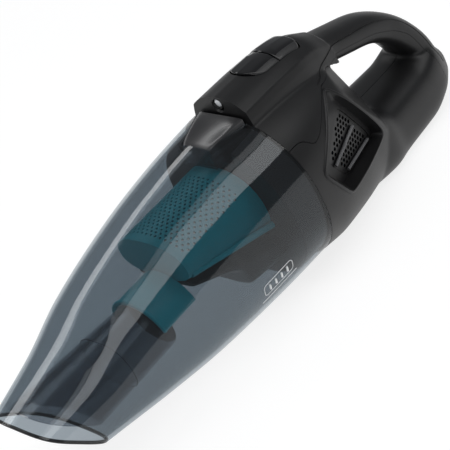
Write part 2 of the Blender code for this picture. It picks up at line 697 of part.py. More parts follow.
def make_housings(mats):
    outer = body_solid("outer", 0.0)
    hollow = body_solid("hollow", WALL)
    for side in (-1, 1):
        cut(outer, kite_pocket("recess", side, 0.0))
        cut(hollow, kite_pocket("liner", side, WALL))
    cover = join(twin(outer, "top_cover"), spine_solid("spine", 0.0))
    cut(cover, join(twin(hollow, "cover_hollow"), spine_solid("spine_hollow", WALL)))
    lower = cut(outer, hollow)
    for side in (-1, 1):
        cut(lower, kite_pocket("window", side, 0.0, VENT_SCALE, WALL + 1))
    keep_inside(cover, above_parting("above"))
    cut(cover, button_block("button_well", (POWER_X[0], TURBO_X[1]), GAP, (110, 150), True, True))
    cut(cover, rod("lamp_hole", (-6, 0, LAMP_Z), (10, 0, LAMP_Z), LAMP_RADIUS + GAP))
    tidy_mesh(cover, mats["housing"])

    keep_inside(lower, below_parting("below", GAP))
    halves = []
    for name, y in (("left_housing", (-90, -GAP / 2)), ("right_housing", (GAP / 2, 90))):
        half = twin(lower, name)
        keep_inside(half, box("side", (-30, TAIL_LENGTH + 45), y, (-20, 170)))
        for x, z in SCREWS:
            reach = wall_at(x, z) * (-1 if name == "left_housing" else 1)
            inner = GAP / 2 * (-1 if name == "left_housing" else 1)
            join(half, rod("boss", (x, inner, z), (x, reach * 0.97, z), 4.0))
            ends = (x, -SCREW_DEPTH - GAP, z), (x, SCREW_DEPTH + 60, z)
            cut(half, rod("shank_hole", *ends, 1.5 + GAP / 2, count=12))
            if name == "right_housing":
                cut(half, rod("head_hole", (x, SCREW_DEPTH, z), (x, 90, z), 3.2, count=16))
        if name == "right_housing":
            cut(half, rod("jack_hole", (JACK_X, 10, JACK_Z), (JACK_X, 60, JACK_Z), JACK_RADIUS + GAP))
        halves.append(tidy_mesh(half, mats["housing"]))
    bpy.data.objects.remove(lower, do_unlink=True)
    return [cover] + halves


def wall_at(x, z):
    """Half width of the housing's skin at a side-view point."""
    ring = deck_ring(x, 0.0, 400) if x > 95 else barrel_ring(x, 0.0, 400)
    near = min(ring, key=lambda p: abs(p[2] - z) + (1000 if p[1] < 0 else 0))
    (x0, z0), (x1, z1) = SHOULDER
    behind = x - (x0 + (x1 - x0) * (z - z0) / (z1 - z0))
    return near[1] if z < z1 else min(near[1], SHOULDER_Y - behind / SHOULDER_RUN)


def make_screws(mats):
    """Pan-head screws that draw the two housing halves together."""
    pieces = []
    for number, (x, z) in enumerate(SCREWS, 1):
        screw = rod(f"housing_screw_{number}", (x, SCREW_DEPTH + GAP, z), (x, SCREW_DEPTH + 2.2, z), 2.7)
        join(screw, rod("shank", (x, -SCREW_DEPTH, z), (x, SCREW_DEPTH + 1, z), 1.3, count=12))
        cut(screw, box("slot", (x - 0.5, x + 0.5), (SCREW_DEPTH + 1.5, SCREW_DEPTH + 5), (z - 1.8, z + 1.8)),
            box("slot", (x - 1.8, x + 1.8), (SCREW_DEPTH + 1.5, SCREW_DEPTH + 5), (z - 0.5, z + 0.5)))
        pieces.append(tidy_mesh(screw, mats["steel"]))
    return pieces


def button_block(name, x, grow, z, round_front, round_rear):
    """Plan of the button group: straight sides and rounded ends."""
    w = BUTTON_HALF_WIDTH + grow
    x0, x1 = x[0] - grow, x[1] + grow
    plan = []
    turns = np.radians(np.linspace(90, 270, 13))
    if round_front:
        plan += [(x0 + 13.0 + 13.0 * math.cos(a), w * math.sin(a)) for a in turns]
    else:
        plan += [(x0, w), (x0, -w)]
    if round_rear:
        plan += [(x1 - 6.0 - 6.0 * math.cos(a), -w * math.sin(a)) for a in turns]
    else:
        plan += [(x1, -w), (x1, w)]
    return loft(name, [[(a, b, h) for a, b in plan] for h in z])


def make_button(mats, name, x, front, rear):
    """Glossy button: a crowned cap with a stem that reaches its switch."""
    cap = button_block(name, x, 0.0, (ridge_height(x[1]) - 8.5, 150), front, rear)
    crown = []
    for px in (x[0] - 1, (x[0] + x[1]) / 2, x[1] + 1):
        top = ridge_height(px) + BUTTON_PROUD
        half = [(0, top), (8, top - 0.8), (11, top - 1.9), (BUTTON_HALF_WIDTH, top - 5.2),
                (BUTTON_HALF_WIDTH + 2, 100.0)]
        crown.append([(px, y, z) for y, z in half + [(-y, z) for y, z in reversed(half[1:])]])
    keep_inside(cap, loft("crown", crown))
    middle = (x[0] + x[1]) / 2
    ends = (middle, 0, SWITCH_TOP + BUTTON_TRAVEL + GAP), (middle, 0, ridge_height(x[1]) - 6)
    join(cap, rod("stem", *ends, 3.0))
    return tidy_mesh(cap, mats["gloss"])


def make_vent_grille(mats, name, side):
    """Plate with air slots that closes the window in a recess floor."""
    plate = kite_pocket(name, side, -GAP, VENT_SCALE, GAP + 1.8)
    cut(plate, kite_pocket("outside", side, 4.0, VENT_SCALE, GAP - 4.0))
    middle = np.mean(KITE, axis=0) + VENT_SHIFT
    for z, start, end in VENT_SLOTS:
        cut(plate, box("slot", (middle[0] + start, middle[0] + end), sorted((side * 20, side * 70)),
                       (middle[1] + z - 1.5, middle[1] + z + 1.5)))
    return tidy_mesh(plate, mats["housing"])


def make_bulkhead(mats):
    """Front wall of the motor bay, with air holes round its middle."""
    plate = loft("front_bulkhead", [barrel_ring(x, WALL + GAP) for x in (1.0, 4.0)])
    for i in range(6):
        a = math.radians(60 * i + 30)
        cut(plate, rod_x("hole", (-5, 10), 7.0, count=12, centre=(18 * math.cos(a), AXIS_Z + 18 * math.sin(a))))
    cut(plate, rod_x("hole", (-5, 10), 6.0, count=12))
    return tidy_mesh(plate, mats["housing"])


def make_drive(mats):
    """Fan shroud, impeller, shaft, motor and its rubber mount, in line on the axis."""
    r, w = FAN_RADIUS, FAN_WIDTH
    x0 = 8.0
    shroud = turned("fan_shroud", [(x0, 14), (x0, r + 3), (x0 + w + 7, r + 3), (x0 + w + 7, r + 1),
                                   (x0 + 1.6, r + 1), (x0 + 1.6, 14)], count=32)
    fan_x = x0 + 3.0
    hub = turned("fan_impeller", [(fan_x, SHAFT_RADIUS + 0.1), (fan_x, 8), (fan_x + w - 2, 10), (fan_x + w - 2, r),
                                  (fan_x + w, r), (fan_x + w, SHAFT_RADIUS + 0.1)], count=32)
    for i in range(7):
        a = 2 * math.pi * i / 7
        blade = box("blade", (fan_x + 1.5, fan_x + w - 1.5), (7.0, r - 2), (-0.8, 0.8))
        blade.rotation_euler = (a, 0, 0)
        blade.location = (0, 0, AXIS_Z * MM)
        bpy.context.view_layer.update()
        join(hub, blade)
    shaft = rod_x("motor_shaft", (fan_x - 1.5, MOTOR_X - GAP), SHAFT_RADIUS, count=16)
    can = stack_x("motor_can", [(MOTOR_X, 6), (MOTOR_X + 1.5, 6), (MOTOR_X + 1.6, MOTOR_RADIUS),
                                (MOTOR_X + MOTOR_LENGTH, MOTOR_RADIUS)])
    mount = turned("motor_mount", [(MOTOR_X + 6, MOTOR_RADIUS + GAP), (MOTOR_X + 6, MOTOR_RADIUS + 3),
                                   (MOTOR_X + 14, MOTOR_RADIUS + 3), (MOTOR_X + 14, MOTOR_RADIUS + GAP)])
    return [tidy_mesh(shroud, mats["fan"]), tidy_mesh(hub, mats["fan"]), tidy_mesh(shaft, mats["steel"]),
            tidy_mesh(can, mats["steel"]), tidy_mesh(mount, mats["rubber"])]


def make_battery(mats):
    """Six cells: four in a block under the motor, two side by side under the handle."""
    pieces = []
    half = CELL_PITCH / 2
    number = 0
    for x, floor, rows in ((CELL_X, CELL_FLOOR, 2), (REAR_CELL_X, REAR_CELL_FLOOR, 1)):
        seats = [(side * half, floor + CELL_RADIUS + CELL_PITCH * row)
                 for row in range(rows) for side in (-1, 1)]
        for centre in seats:
            number += 1
            cell = rod_x(f"battery_cell_{number}", (x, x + CELL_LENGTH), CELL_RADIUS, count=18, centre=centre)
            pieces.append(tidy_mesh(cell, mats["cell"]))
        if rows == 1:
            continue
        for name, at in (("battery_cap_front", (x - 1.6, x - GAP)),
                         ("battery_cap_rear", (x + CELL_LENGTH + GAP, x + CELL_LENGTH + 1.6))):
            cap = box(name, at, (-15.0, 15.0), (floor + 3, floor + CELL_PITCH + 2 * CELL_RADIUS - 3))
            for centre in seats:
                cut(cap, rod_x("hole", (at[0] - 2, at[1] + 2), 4.0, count=10, centre=centre))
            pieces.append(tidy_mesh(cap, mats["fan"]))
    return pieces


def make_electrics(mats):
    """Boards, switches, lamp and charging socket."""
    x0, x1 = POWER_X[0] + 2, TURBO_X[1] - 2
    board = box("switch_board", (x0, x1), (-11, 11), (SWITCH_BOARD_Z, SWITCH_BOARD_Z + 1.6))
    pieces = [tidy_mesh(board, mats["board"])]
    for name, span in (("power_switch", POWER_X), ("turbo_switch", TURBO_X)):
        middle = (span[0] + span[1]) / 2
        base = SWITCH_BOARD_Z + 1.6 + GAP
        switch = box(name, (middle - 3, middle + 3), (-3, 3), (base, SWITCH_TOP - 1.0))
        join(switch, rod("plunger", (middle, 0, SWITCH_TOP - 2), (middle, 0, SWITCH_TOP), 1.7, count=12))
        pieces.append(tidy_mesh(switch, mats["gloss"]))
    control = box("control_board", (104.0, 148.0), (-18, 18), (30.0, 31.6))
    lens = rod("headlight_lens", (2.3, 0, LAMP_Z), (4.2, 0, LAMP_Z), LAMP_RADIUS, count=20)
    lamp_board = box("lamp_board", (5.4, 6.6), (-6, 6), (LAMP_Z - 6, LAMP_Z + 1))
    jack = rod("charge_jack", (JACK_X, 22, JACK_Z), (JACK_X, 30.0, JACK_Z), JACK_RADIUS, count=20)
    cut(jack, rod("bore", (JACK_X, 24, JACK_Z), (JACK_X, 40, JACK_Z), 2.9, count=16))
    pieces += [tidy_mesh(control, mats["board"]), tidy_mesh(lens, mats["lens"]),
               tidy_mesh(lamp_board, mats["board"]), tidy_mesh(jack, mats["gloss"])]
    return pieces


def main():
    clear_scene()
    mats = make_materials()
    pieces = [make_dust_cup(mats), make_release_button(mats), make_latch_spring(mats),
              make_inlet_duct(mats), make_flap_valve(mats), make_filter_collar(mats),
              make_filter_cage(mats), make_filter_base(mats), make_deflector(mats), make_hepa(mats),
              make_filter_seal(mats)]
    pieces += make_housings(mats)
    pieces += [make_button(mats, "power_button", POWER_X, True, False),
               make_button(mats, "turbo_button", TURBO_X, False, True)]
    pieces += [make_vent_grille(mats, "vent_grille_left", -1), make_vent_grille(mats, "vent_grille_right", 1)]
    pieces += make_screws(mats)
    pieces += [make_bulkhead(mats)] + make_drive(mats) + make_battery(mats) + make_electrics(mats)
    frame = bpy.data.objects.new("vacuum_frame", None)
    bpy.context.collection.objects.link(frame)
    reach = [corner[0] for piece in pieces for corner in piece.bound_box]
    frame.location.x = -(min(reach) + max(reach)) / 2
    for piece in pieces:
        piece.parent = frame


main()
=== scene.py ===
# %% [markdown]
# # A cordless handheld vacuum cleaner
# The tool has two halves. In front is a smoked, see-through dust cup with a teal filter cage
# and a dark inlet duct inside it. Behind is a black moulded housing with the motor, the cells
# and a loop handle. The working model is already there as plain solids. This lesson gives it
# its final surfaces and finishes, and leaves every place and size as the model has it.

# %% Load the working model
import json
import math

import bmesh
import bpy
import numpy as np
from mathutils import Matrix, Vector
from mathutils.bvhtree import BVHTree


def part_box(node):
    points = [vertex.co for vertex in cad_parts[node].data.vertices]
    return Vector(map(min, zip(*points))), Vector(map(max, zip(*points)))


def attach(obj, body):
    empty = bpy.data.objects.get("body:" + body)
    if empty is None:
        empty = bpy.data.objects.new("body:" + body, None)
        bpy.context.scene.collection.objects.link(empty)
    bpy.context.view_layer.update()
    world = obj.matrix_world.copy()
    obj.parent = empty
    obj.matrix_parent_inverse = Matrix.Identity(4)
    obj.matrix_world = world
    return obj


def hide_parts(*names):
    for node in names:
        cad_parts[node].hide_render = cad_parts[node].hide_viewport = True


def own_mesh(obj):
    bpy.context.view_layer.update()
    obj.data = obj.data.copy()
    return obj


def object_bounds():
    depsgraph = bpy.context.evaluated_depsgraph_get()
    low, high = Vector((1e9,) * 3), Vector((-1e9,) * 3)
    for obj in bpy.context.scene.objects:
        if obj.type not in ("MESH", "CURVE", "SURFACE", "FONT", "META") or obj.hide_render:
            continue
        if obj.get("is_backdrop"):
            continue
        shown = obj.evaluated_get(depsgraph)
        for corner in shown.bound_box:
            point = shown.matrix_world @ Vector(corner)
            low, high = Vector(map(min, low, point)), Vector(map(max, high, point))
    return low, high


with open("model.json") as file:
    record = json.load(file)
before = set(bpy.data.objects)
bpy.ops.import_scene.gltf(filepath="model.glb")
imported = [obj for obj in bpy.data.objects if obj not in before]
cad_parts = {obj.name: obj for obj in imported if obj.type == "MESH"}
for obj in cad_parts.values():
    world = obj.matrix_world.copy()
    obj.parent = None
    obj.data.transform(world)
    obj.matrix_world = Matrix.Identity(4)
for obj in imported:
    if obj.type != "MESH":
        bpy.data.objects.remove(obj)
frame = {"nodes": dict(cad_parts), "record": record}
cad_low, cad_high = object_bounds()
print("pieces in the model:", len(frame["nodes"]))

# %% [markdown]
# Shapes are easiest to think of in millimetres, measured from the seam between the cup and
# the housing. The seam, the motor's axis and the tips of the tool are read from the model, so
# the surfaces stay with it. X runs from the nozzle to the handle and Z is up from the belly.

# %% Driving sizes
MM = 0.001
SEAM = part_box("dust_cup")[1].x
AXIS_Z = (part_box("motor_shaft")[0].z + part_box("motor_shaft")[1].z) / 2 / MM
NOSE = (SEAM - cad_low.x) / MM
TAIL = (cad_high.x - SEAM) / MM
HALF_WIDTH = cad_high.y / MM
CUP_WALL = 2.2
WALL = 2.5
GAP = 0.4
print(f"nose {NOSE:.1f} mm, tail {TAIL:.1f} mm, axis at {AXIS_Z:.1f} mm")

# %% [markdown]
# ## Tools for surfaces
# A surface here is a grid of points worked out with numpy: one direction runs along the tool
# and the other round it. The same few helpers turn such a grid into a mesh, cut one shape with
# another, and shade it. Writing them once keeps each piece below short.

# %% From points to a piece
def grid_faces(rows, columns, wrap_rows=False):
    """Quads between neighbouring points of a grid whose columns close into a ring."""
    i, j = np.meshgrid(np.arange(rows if wrap_rows else rows - 1), np.arange(columns), indexing="ij")
    below, right = (i + 1) % rows, (j + 1) % columns
    return np.stack([i * columns + j, i * columns + right, below * columns + right, below * columns + j],
                    axis=-1).reshape(-1, 4).tolist()


def new_piece(name, points, faces):
    """Mesh object from points in millimetres, with every face turned outwards."""
    mesh = bpy.data.meshes.new(name)
    placed = np.asarray(points, float).reshape(-1, 3) * MM + (SEAM, 0, 0)
    mesh.from_pydata(placed.tolist(), [], faces)
    work = bmesh.new()
    work.from_mesh(mesh)
    bmesh.ops.recalc_face_normals(work, faces=work.faces)
    work.to_mesh(mesh)
    work.free()
    piece = bpy.data.objects.new(name, mesh)
    bpy.context.scene.collection.objects.link(piece)
    return piece


def loft(name, rings):
    """Solid through a stack of rings, closed by a flat face at each end."""
    rings = np.asarray(rings, float)
    rows, columns = rings.shape[:2]
    caps = [list(range(columns)), list(range((rows - 1) * columns, rows * columns))]
    return new_piece(name, rings, grid_faces(rows, columns) + caps)


def shell(name, outside, inside):
    """Tube with a wall: the outer rings run one way, the inner rings come back."""
    rings = np.concatenate([np.asarray(outside, float), np.asarray(inside, float)[::-1]])
    return new_piece(name, rings, grid_faces(*rings.shape[:2], wrap_rows=True))


# %% Cutting, fusing and shading
def settle(piece):
    """Replace a piece's mesh by what its modifiers make of it."""
    made = bpy.data.meshes.new_from_object(piece.evaluated_get(bpy.context.evaluated_depsgraph_get()))
    piece.modifiers.clear()
    piece.data = made
    return piece


def combine(piece, tool, operation="DIFFERENCE"):
    """Boolean of two closed solids; the tool is used up."""
    step = piece.modifiers.new("combine", "BOOLEAN")
    step.operation, step.solver, step.object = operation, "MANIFOLD", tool
    settle(piece)
    bpy.data.objects.remove(tool)
    return piece


def twin(piece, name):
    copy = bpy.data.objects.new(name, piece.data.copy())
    bpy.context.scene.collection.objects.link(copy)
    return copy


def melt(piece, voxel, rounds):
    """Skin the solid again in even small squares, then relax them, which rounds every crease."""
    step = piece.modifiers.new("even", "REMESH")
    step.mode, step.voxel_size = "VOXEL", voxel * MM
    relax = piece.modifiers.new("relax", "SMOOTH")
    relax.factor, relax.iterations = 0.5, rounds
    return settle(piece)


def smooth_shade(piece, sharp=30):
    piece.data.shade_smooth()
    piece.data.set_sharp_from_angle(angle=math.radians(sharp))
    return piece


# %% Curves and sections
def curve_through(x, xs, ys):
    """Cubic through given points that never overshoots them, as a draughtsman's spline."""
    x, xs, ys = np.asarray(x, float), np.asarray(xs, float), np.asarray(ys, float)
    step, slope = np.diff(xs), np.diff(ys) / np.diff(xs)
    tangent = np.zeros_like(ys)
    same = slope[:-1] * slope[1:] > 0
    tangent[1:-1][same] = 2 * slope[:-1][same] * slope[1:][same] / (slope[:-1] + slope[1:])[same]
    tangent[0], tangent[-1] = slope[0], slope[-1]
    i = np.clip(np.searchsorted(xs, x) - 1, 0, len(xs) - 2)
    t = np.clip((x - xs[i]) / step[i], 0, 1)
    return ((2 * t**3 - 3 * t**2 + 1) * ys[i] + (t**3 - 2 * t**2 + t) * tangent[i] * step[i]
            + (3 * t**2 - 2 * t**3) * ys[i + 1] + (t**3 - t**2) * tangent[i + 1] * step[i])


def turn(count):
    return np.linspace(0, 2 * math.pi, count, endpoint=False)


def oval(angle, half_width, top, bottom, middle, power):
    """Y and Z round a superellipse: |y/a|^p + |z/b|^p = 1, squarer as p grows."""
    c, s = np.cos(angle), np.sin(angle)
    y = half_width * np.sign(c) * np.abs(c) ** (2 / power)
    rise = np.where(s >= 0, top - middle, middle - bottom)
    return y, middle + rise * np.sign(s) * np.abs(s) ** (2 / power)


def pins(name, centres, ways, radius, length, sides=6):
    """Many short prisms in one mesh: at each centre a ring of corners square to its way."""
    centres, ways = np.asarray(centres, float), np.asarray(ways, float)
    ways = ways / np.linalg.norm(ways, axis=1, keepdims=True)
    across = np.cross(ways, (1.0, 0.0, 0.0))
    across /= np.linalg.norm(across, axis=1, keepdims=True)
    other = np.cross(ways, across)
    a = turn(sides)[None, :, None]
    ring = radius * (np.cos(a) * across[:, None] + np.sin(a) * other[:, None])
    ends = [centres[:, None] + ring + ways[:, None] * h for h in (-length / 2, length / 2)]
    points = np.stack(ends, axis=1).reshape(-1, 3)
    faces = []
    for first in range(0, len(points), 2 * sides):
        low, high = list(range(first, first + sides)), list(range(first + sides, first + 2 * sides))
        faces += [low, high] + [[low[k], low[(k + 1) % sides], high[(k + 1) % sides], high[k]]
                                for k in range(sides)]
    return new_piece(name, points, faces)


def tube(name, path, radius, count=12, closed=False):
    """Round bar along a path; each ring is square to the path's direction there."""
    path = np.asarray(path, float)
    ahead = (np.roll(path, -1, 0) - np.roll(path, 1, 0)) if closed else np.gradient(path, axis=0)
    ahead /= np.linalg.norm(ahead, axis=1, keepdims=True)
    side = np.cross(ahead, (0.05, 1.0, 0.1))
    side /= np.linalg.norm(side, axis=1, keepdims=True)
    up = np.cross(ahead, side)
    a = turn(count)[None, :, None]
    rings = path[:, None] + radius * (np.cos(a) * side[:, None] + np.sin(a) * up[:, None])
    if closed:
        return new_piece(name, rings, grid_faces(len(path), count, wrap_rows=True))
    return loft(name, rings)


def prism(name, outline, y):
    """Side-view outline of (x, z) carried from one Y to another."""
    outline = np.asarray(outline, float)
    return loft(name, [np.column_stack([outline[:, 0], np.full(len(outline), at), outline[:, 1]])
                       for at in y])


# %% [markdown]
# ## Finishes
# A material is a small sum over the surface: a base colour, how rough it is, and a fine bump.
# Writing the sum as Python is easier to read than a picture of nodes, so a wire can be added
# and multiplied like a number, and each operation becomes one Math node.

# %% Wires that can be reckoned with
class Wire:
    """A socket of a material's node tree that behaves like a number."""

    def __init__(self, tree, socket=None):
        self.tree, self.socket = tree, socket

    def node(self, kind, settings=None, inputs=None, output=0):
        """Add a node: first its settings, then a value or a wire for each input."""
        made = self.tree.nodes.new("ShaderNode" + kind)
        for key, value in (settings or {}).items():
            setattr(made, key, value)
        for key, value in (inputs or {}).items():
            if isinstance(value, Wire):
                self.tree.links.new(value.socket, made.inputs[key])
            else:
                made.inputs[key].default_value = value
        return Wire(self.tree, made.outputs[output])

    def math(self, operation, *values):
        return self.node("Math", {"operation": operation}, dict(enumerate(values)))

    def __add__(self, other):
        return self.math("ADD", self, other)

    def __sub__(self, other):
        return self.math("SUBTRACT", self, other)

    def __rsub__(self, other):
        return self.math("SUBTRACT", other, self)

    def __mul__(self, other):
        return self.math("MULTIPLY", self, other)

    __radd__, __rmul__ = __add__, __mul__

    def step(self, low, high):
        """0 under low, 1 over high, and smooth between."""
        return self.node("MapRange", {"interpolation_type": "SMOOTHSTEP"},
                         {"Value": self, "From Min": low, "From Max": high})

    def tint(self, first, second):
        """Colour between two colours, by this wire's value."""
        inputs = {"Factor": self, 6: (*first, 1), 7: (*second, 1)}
        return self.node("Mix", {"data_type": "RGBA"}, inputs, output=2)


def noise(place, scale, detail=3.0):
    """Cloudy value round 0.5 with this many waves to a metre."""
    return place.node("TexNoise", None, {"Vector": place, "Scale": scale, "Detail": detail})


def finish(name, color, roughness, metallic=0.0, grain=0.0, grain_scale=2600.0, spread=0.25, coat=0.0,
           specular=0.5, build=None):
    """Moulded finish: colour and roughness drift a little, and a fine grain lifts the surface."""
    material = bpy.data.materials.new(name)
    material.use_nodes = True
    shader = material.node_tree.nodes["Principled BSDF"]
    wire = Wire(material.node_tree)
    place = wire.node("TexCoord", output=3)
    cloud = noise(place, 38.0)
    color = np.array(color, float)
    paint = cloud.tint(color * (1 - spread), color * (1 + spread))
    rough = roughness + (cloud - 0.5) * (0.25 * roughness)
    shader.inputs["Metallic"].default_value = metallic
    shader.inputs["Coat Weight"].default_value = coat
    shader.inputs["Specular IOR Level"].default_value = specular
    made = {"paint": paint, "rough": rough, "height": noise(place, grain_scale, 2.0), "alpha": None}
    if build:
        made.update(build(place, made))
    links = material.node_tree.links
    links.new(made["paint"].socket, shader.inputs["Base Color"])
    links.new(made["rough"].socket, shader.inputs["Roughness"])
    if made["alpha"]:
        links.new(made["alpha"].socket, shader.inputs["Alpha"])
    if grain:
        bump = wire.node("Bump", None, {"Height": made["height"], "Strength": 1.0, "Distance": grain * MM})
        links.new(bump.socket, shader.inputs["Normal"])
    return material


def clear(name, tint, cover, edge, roughness):
    """Tinted see-through plastic: a clear tint under a black gloss that takes over towards the rim."""
    material = finish(name, (0.004, 0.005, 0.006), roughness, spread=0.1, coat=0.5, specular=1.0)
    wire = Wire(material.node_tree)
    facing = wire.node("LayerWeight", None, {"Blend": 0.35}, output=1)
    window = wire.node("BsdfTransparent", None, {"Color": (*tint, 1)})
    gloss = material.node_tree.nodes["Principled BSDF"].outputs[0]
    factor = cover + facing * facing * facing * edge
    both = wire.node("MixShader", None, {0: factor, 1: window, 2: Wire(material.node_tree, gloss)})
    material.node_tree.links.new(both.socket, material.node_tree.nodes["Material Output"].inputs["Surface"])
    return material


def key_skin_painted_edge(place, made):
    """Polished on top; past the crease the flanks are satin, and their lighter colour is painted highlight along
    the keys' edges.
    """
    parts = place.node("SeparateXYZ", None, {0: place}, output=1)
    flank = parts.math("ABSOLUTE", parts).step(10.8 * MM, 11.4 * MM)
    # Lighter colour on the flanks is painted highlight; their higher roughness is the real satin finish.
    return {"paint": flank.tint((0.004, 0.004, 0.005), (0.022, 0.022, 0.023)), "rough": 0.10 + flank * 0.3}


# %% Every finish of the tool
MATTE = finish("matte_black", (0.008, 0.008, 0.0085), 0.42, grain=0.03, specular=0.36)
SATIN = finish("satin_black", (0.007, 0.007, 0.0075), 0.36, grain=0.02, specular=0.4)
# Keys' finish with painted highlight: the flanks past the crease get a lighter colour.
GLOSS_PAINTED_EDGE = finish("polished_black_painted_edge", (0.004, 0.004, 0.005), 0.10, build=key_skin_painted_edge)
TAB = finish("tab_black", (0.03, 0.03, 0.032), 0.22, grain=0.006)
SMOKE = clear("smoked_cup", (0.81, 0.865, 0.905), 0.33, 0.5, 0.045)
DUCT = clear("smoked_duct", (0.90, 0.93, 0.97), 0.34, 0.4, 0.10)
TEAL = finish("teal", (0.002, 0.32, 0.39), 0.38, grain=0.01, spread=0.08)
RUBBER = finish("rubber", (0.012, 0.012, 0.012), 0.75, grain=0.05)
PAPER = finish("pleated_paper", (0.72, 0.71, 0.66), 0.9, grain=0.08, grain_scale=900.0, spread=0.06)
STEEL = finish("plated_steel", (0.60, 0.60, 0.60), 0.28, metallic=1.0, grain=0.01, spread=0.08)
WRAP = finish("cell_wrap", (0.03, 0.14, 0.40), 0.3, grain=0.01, spread=0.1)
BOARD = finish("solder_mask", (0.01, 0.13, 0.05), 0.35, grain=0.03, grain_scale=700.0)
LENS = finish("clear_lens", (0.85, 0.87, 0.90), 0.06, spread=0.02, coat=0.6)
NYLON = finish("grey_nylon", (0.10, 0.10, 0.105), 0.4, grain=0.02, spread=0.1)
PRINT = finish("white_print", (0.78, 0.79, 0.80), 0.5, grain=0.01, spread=0.03)

BY_SLOT = {"housing": MATTE, "cover": MATTE, "grille": SATIN, "inner": SATIN, "gloss": GLOSS_PAINTED_EDGE, "smoke": SMOKE,
           "duct": DUCT, "teal": TEAL, "rubber": RUBBER, "paper": PAPER, "steel": STEEL, "cell": WRAP,
           "board": BOARD, "lens": LENS, "nylon": NYLON}
slot_of = {part["node"]: part["material_slot"] for part in frame["record"]["subparts"]}
for node, solid in frame["nodes"].items():
    solid.data.materials.clear()
    solid.data.materials.append(BY_SLOT[slot_of[node]])


def install(piece, material, slot, body, *nodes, sharp=30):
    """Give a finished piece its material and body, shade it, and hide the plain solids it stands for."""
    piece.data.materials.clear()
    piece.data.materials.append(material)
    smooth_shade(piece, sharp)
    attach(piece, body)
    if nodes:
        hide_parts(*nodes)
    print(f"{piece.name}: {len(piece.data.polygons)} faces")
    return piece


# %% [markdown]
# ## The dust cup
# The cup is one clear moulding: an oval that narrows to the nozzle and ends in a slanted mouth.
# It could be a stretched sphere with cuts, but its width, top and bottom change at different
# rates, so each has its own curve. Rings near the mouth lean forward, which slants the lip.

# %% Cup sections
CUP_X = (-235, -190, -150, -110, -70, -30, 0)
CUP_WIDE = (0.525, 0.705, 0.833, 0.917, 0.967, 0.992, 1.0)
CUP_TOP = (69.5, 79.0, 94.5, 105.6, 114.0, 119.0, 120.8)
CUP_BOTTOM = (36.0, 29.0, 20.6, 12.7, 7.0, 2.6, 0.6)
CUP_POWER = (3.6, 3.0, 2.7, 2.5, 2.35, 2.25, 2.2)
MOUTH_X = -215.5
MOUTH_SLANT = 0.98
LEAN_FROM = -130.0


def cup_section(x, angle, inset=0.0):
    """Y and Z on the cup's skin, or on a skin inset from it."""
    top = curve_through(x, CUP_X, CUP_TOP) - inset
    bottom = curve_through(x, CUP_X, CUP_BOTTOM) + inset
    wide = HALF_WIDTH * curve_through(x, CUP_X, CUP_WIDE) - inset
    return oval(angle, wide, top, bottom, (top + bottom) / 2, curve_through(x, CUP_X, CUP_POWER))


def cup_ring(x, inset=0.0, count=200):
    """Ring whose points move forward with height, more so nearer the mouth."""
    angle, place = turn(count), np.full(count, float(x))
    lean = MOUTH_SLANT * min(1.0, max(0.0, (x - LEAN_FROM) / (MOUTH_X - LEAN_FROM))) ** 1.5
    y, z = cup_section(place, angle, inset)
    for _ in range(6):
        place = x - lean * (z - (z.max() + z.min()) / 2)
        y, z = cup_section(place, angle, inset)
    return np.column_stack([place, y, z])


# %% [markdown]
# A notch in the cup's rear edge holds the release button, with a thin floor under it. The
# floor is made as a block kept inside the cup's skin, so that it can't show outside.

# %% Cup and its notch
TAB_FRONT, TAB_REAR = -29.0, -1.0
TAB_WIDE_FRONT, TAB_WIDE_REAR = 13.0, 21.0
TAB_FLOOR = 106.5
TAB_SLOPE = (TAB_WIDE_REAR - TAB_WIDE_FRONT) / (TAB_REAR - TAB_FRONT)


def tab_block(name, grow, z, rear):
    """Block with the button's wedge plan, grown by a clearance all round."""
    front = TAB_FRONT - grow
    w0 = TAB_WIDE_FRONT + grow - TAB_SLOPE * grow
    w1 = w0 + TAB_SLOPE * (rear - front)
    return loft(name, [[(front, -w0, h), (front, w0, h), (rear, w1, h), (rear, -w1, h)] for h in z])


stations = np.linspace(0.0, MOUTH_X, 80)
rim = [cup_ring(MOUTH_X - 0.5, CUP_WALL * 0.35), cup_ring(MOUTH_X - 0.5, CUP_WALL * 0.65)]
cup = shell("cup_shell", [cup_ring(x) for x in stations] + rim[:1],
            [cup_ring(x, CUP_WALL) for x in stations] + rim[1:])
shelf = tab_block("shelf", 3.0, (TAB_FLOOR - 2, 130.0), -0.2)
combine(shelf, loft("skin", [cup_ring(x, 0.4) for x in (-60, -45, -30, -15, -0.1)]), "INTERSECT")
combine(cup, shelf, "UNION")
combine(cup, tab_block("notch", GAP, (TAB_FLOOR, 140), 6.0))
install(cup, SMOKE, "smoke", "cup", "dust_cup")
cup.visible_shadow = False      # lamps light what is inside it

lip = tube("mouth_lip", cup_ring(MOUTH_X - 0.3, CUP_WALL / 2, 120), 1.15, closed=True)
install(lip, SATIN, "inner", "cup")

# %% [markdown]
# ## The release button
# It is a wedge with a dished top, so that a thumb finds it. Its top is a sheet of heights over
# the wedge's plan, which makes the dish a formula rather than something carved.

# %% Release button
def wedge_grid(rows, columns):
    """Plan of the wedge: along it from front to rear, and across from side to side."""
    u, v = np.meshgrid(np.linspace(0, 1, rows), np.linspace(-1, 1, columns), indexing="ij")
    x = TAB_FRONT + (TAB_REAR - TAB_FRONT) * u
    return u, v, x, v * (TAB_WIDE_FRONT + (TAB_WIDE_REAR - TAB_WIDE_FRONT) * u)


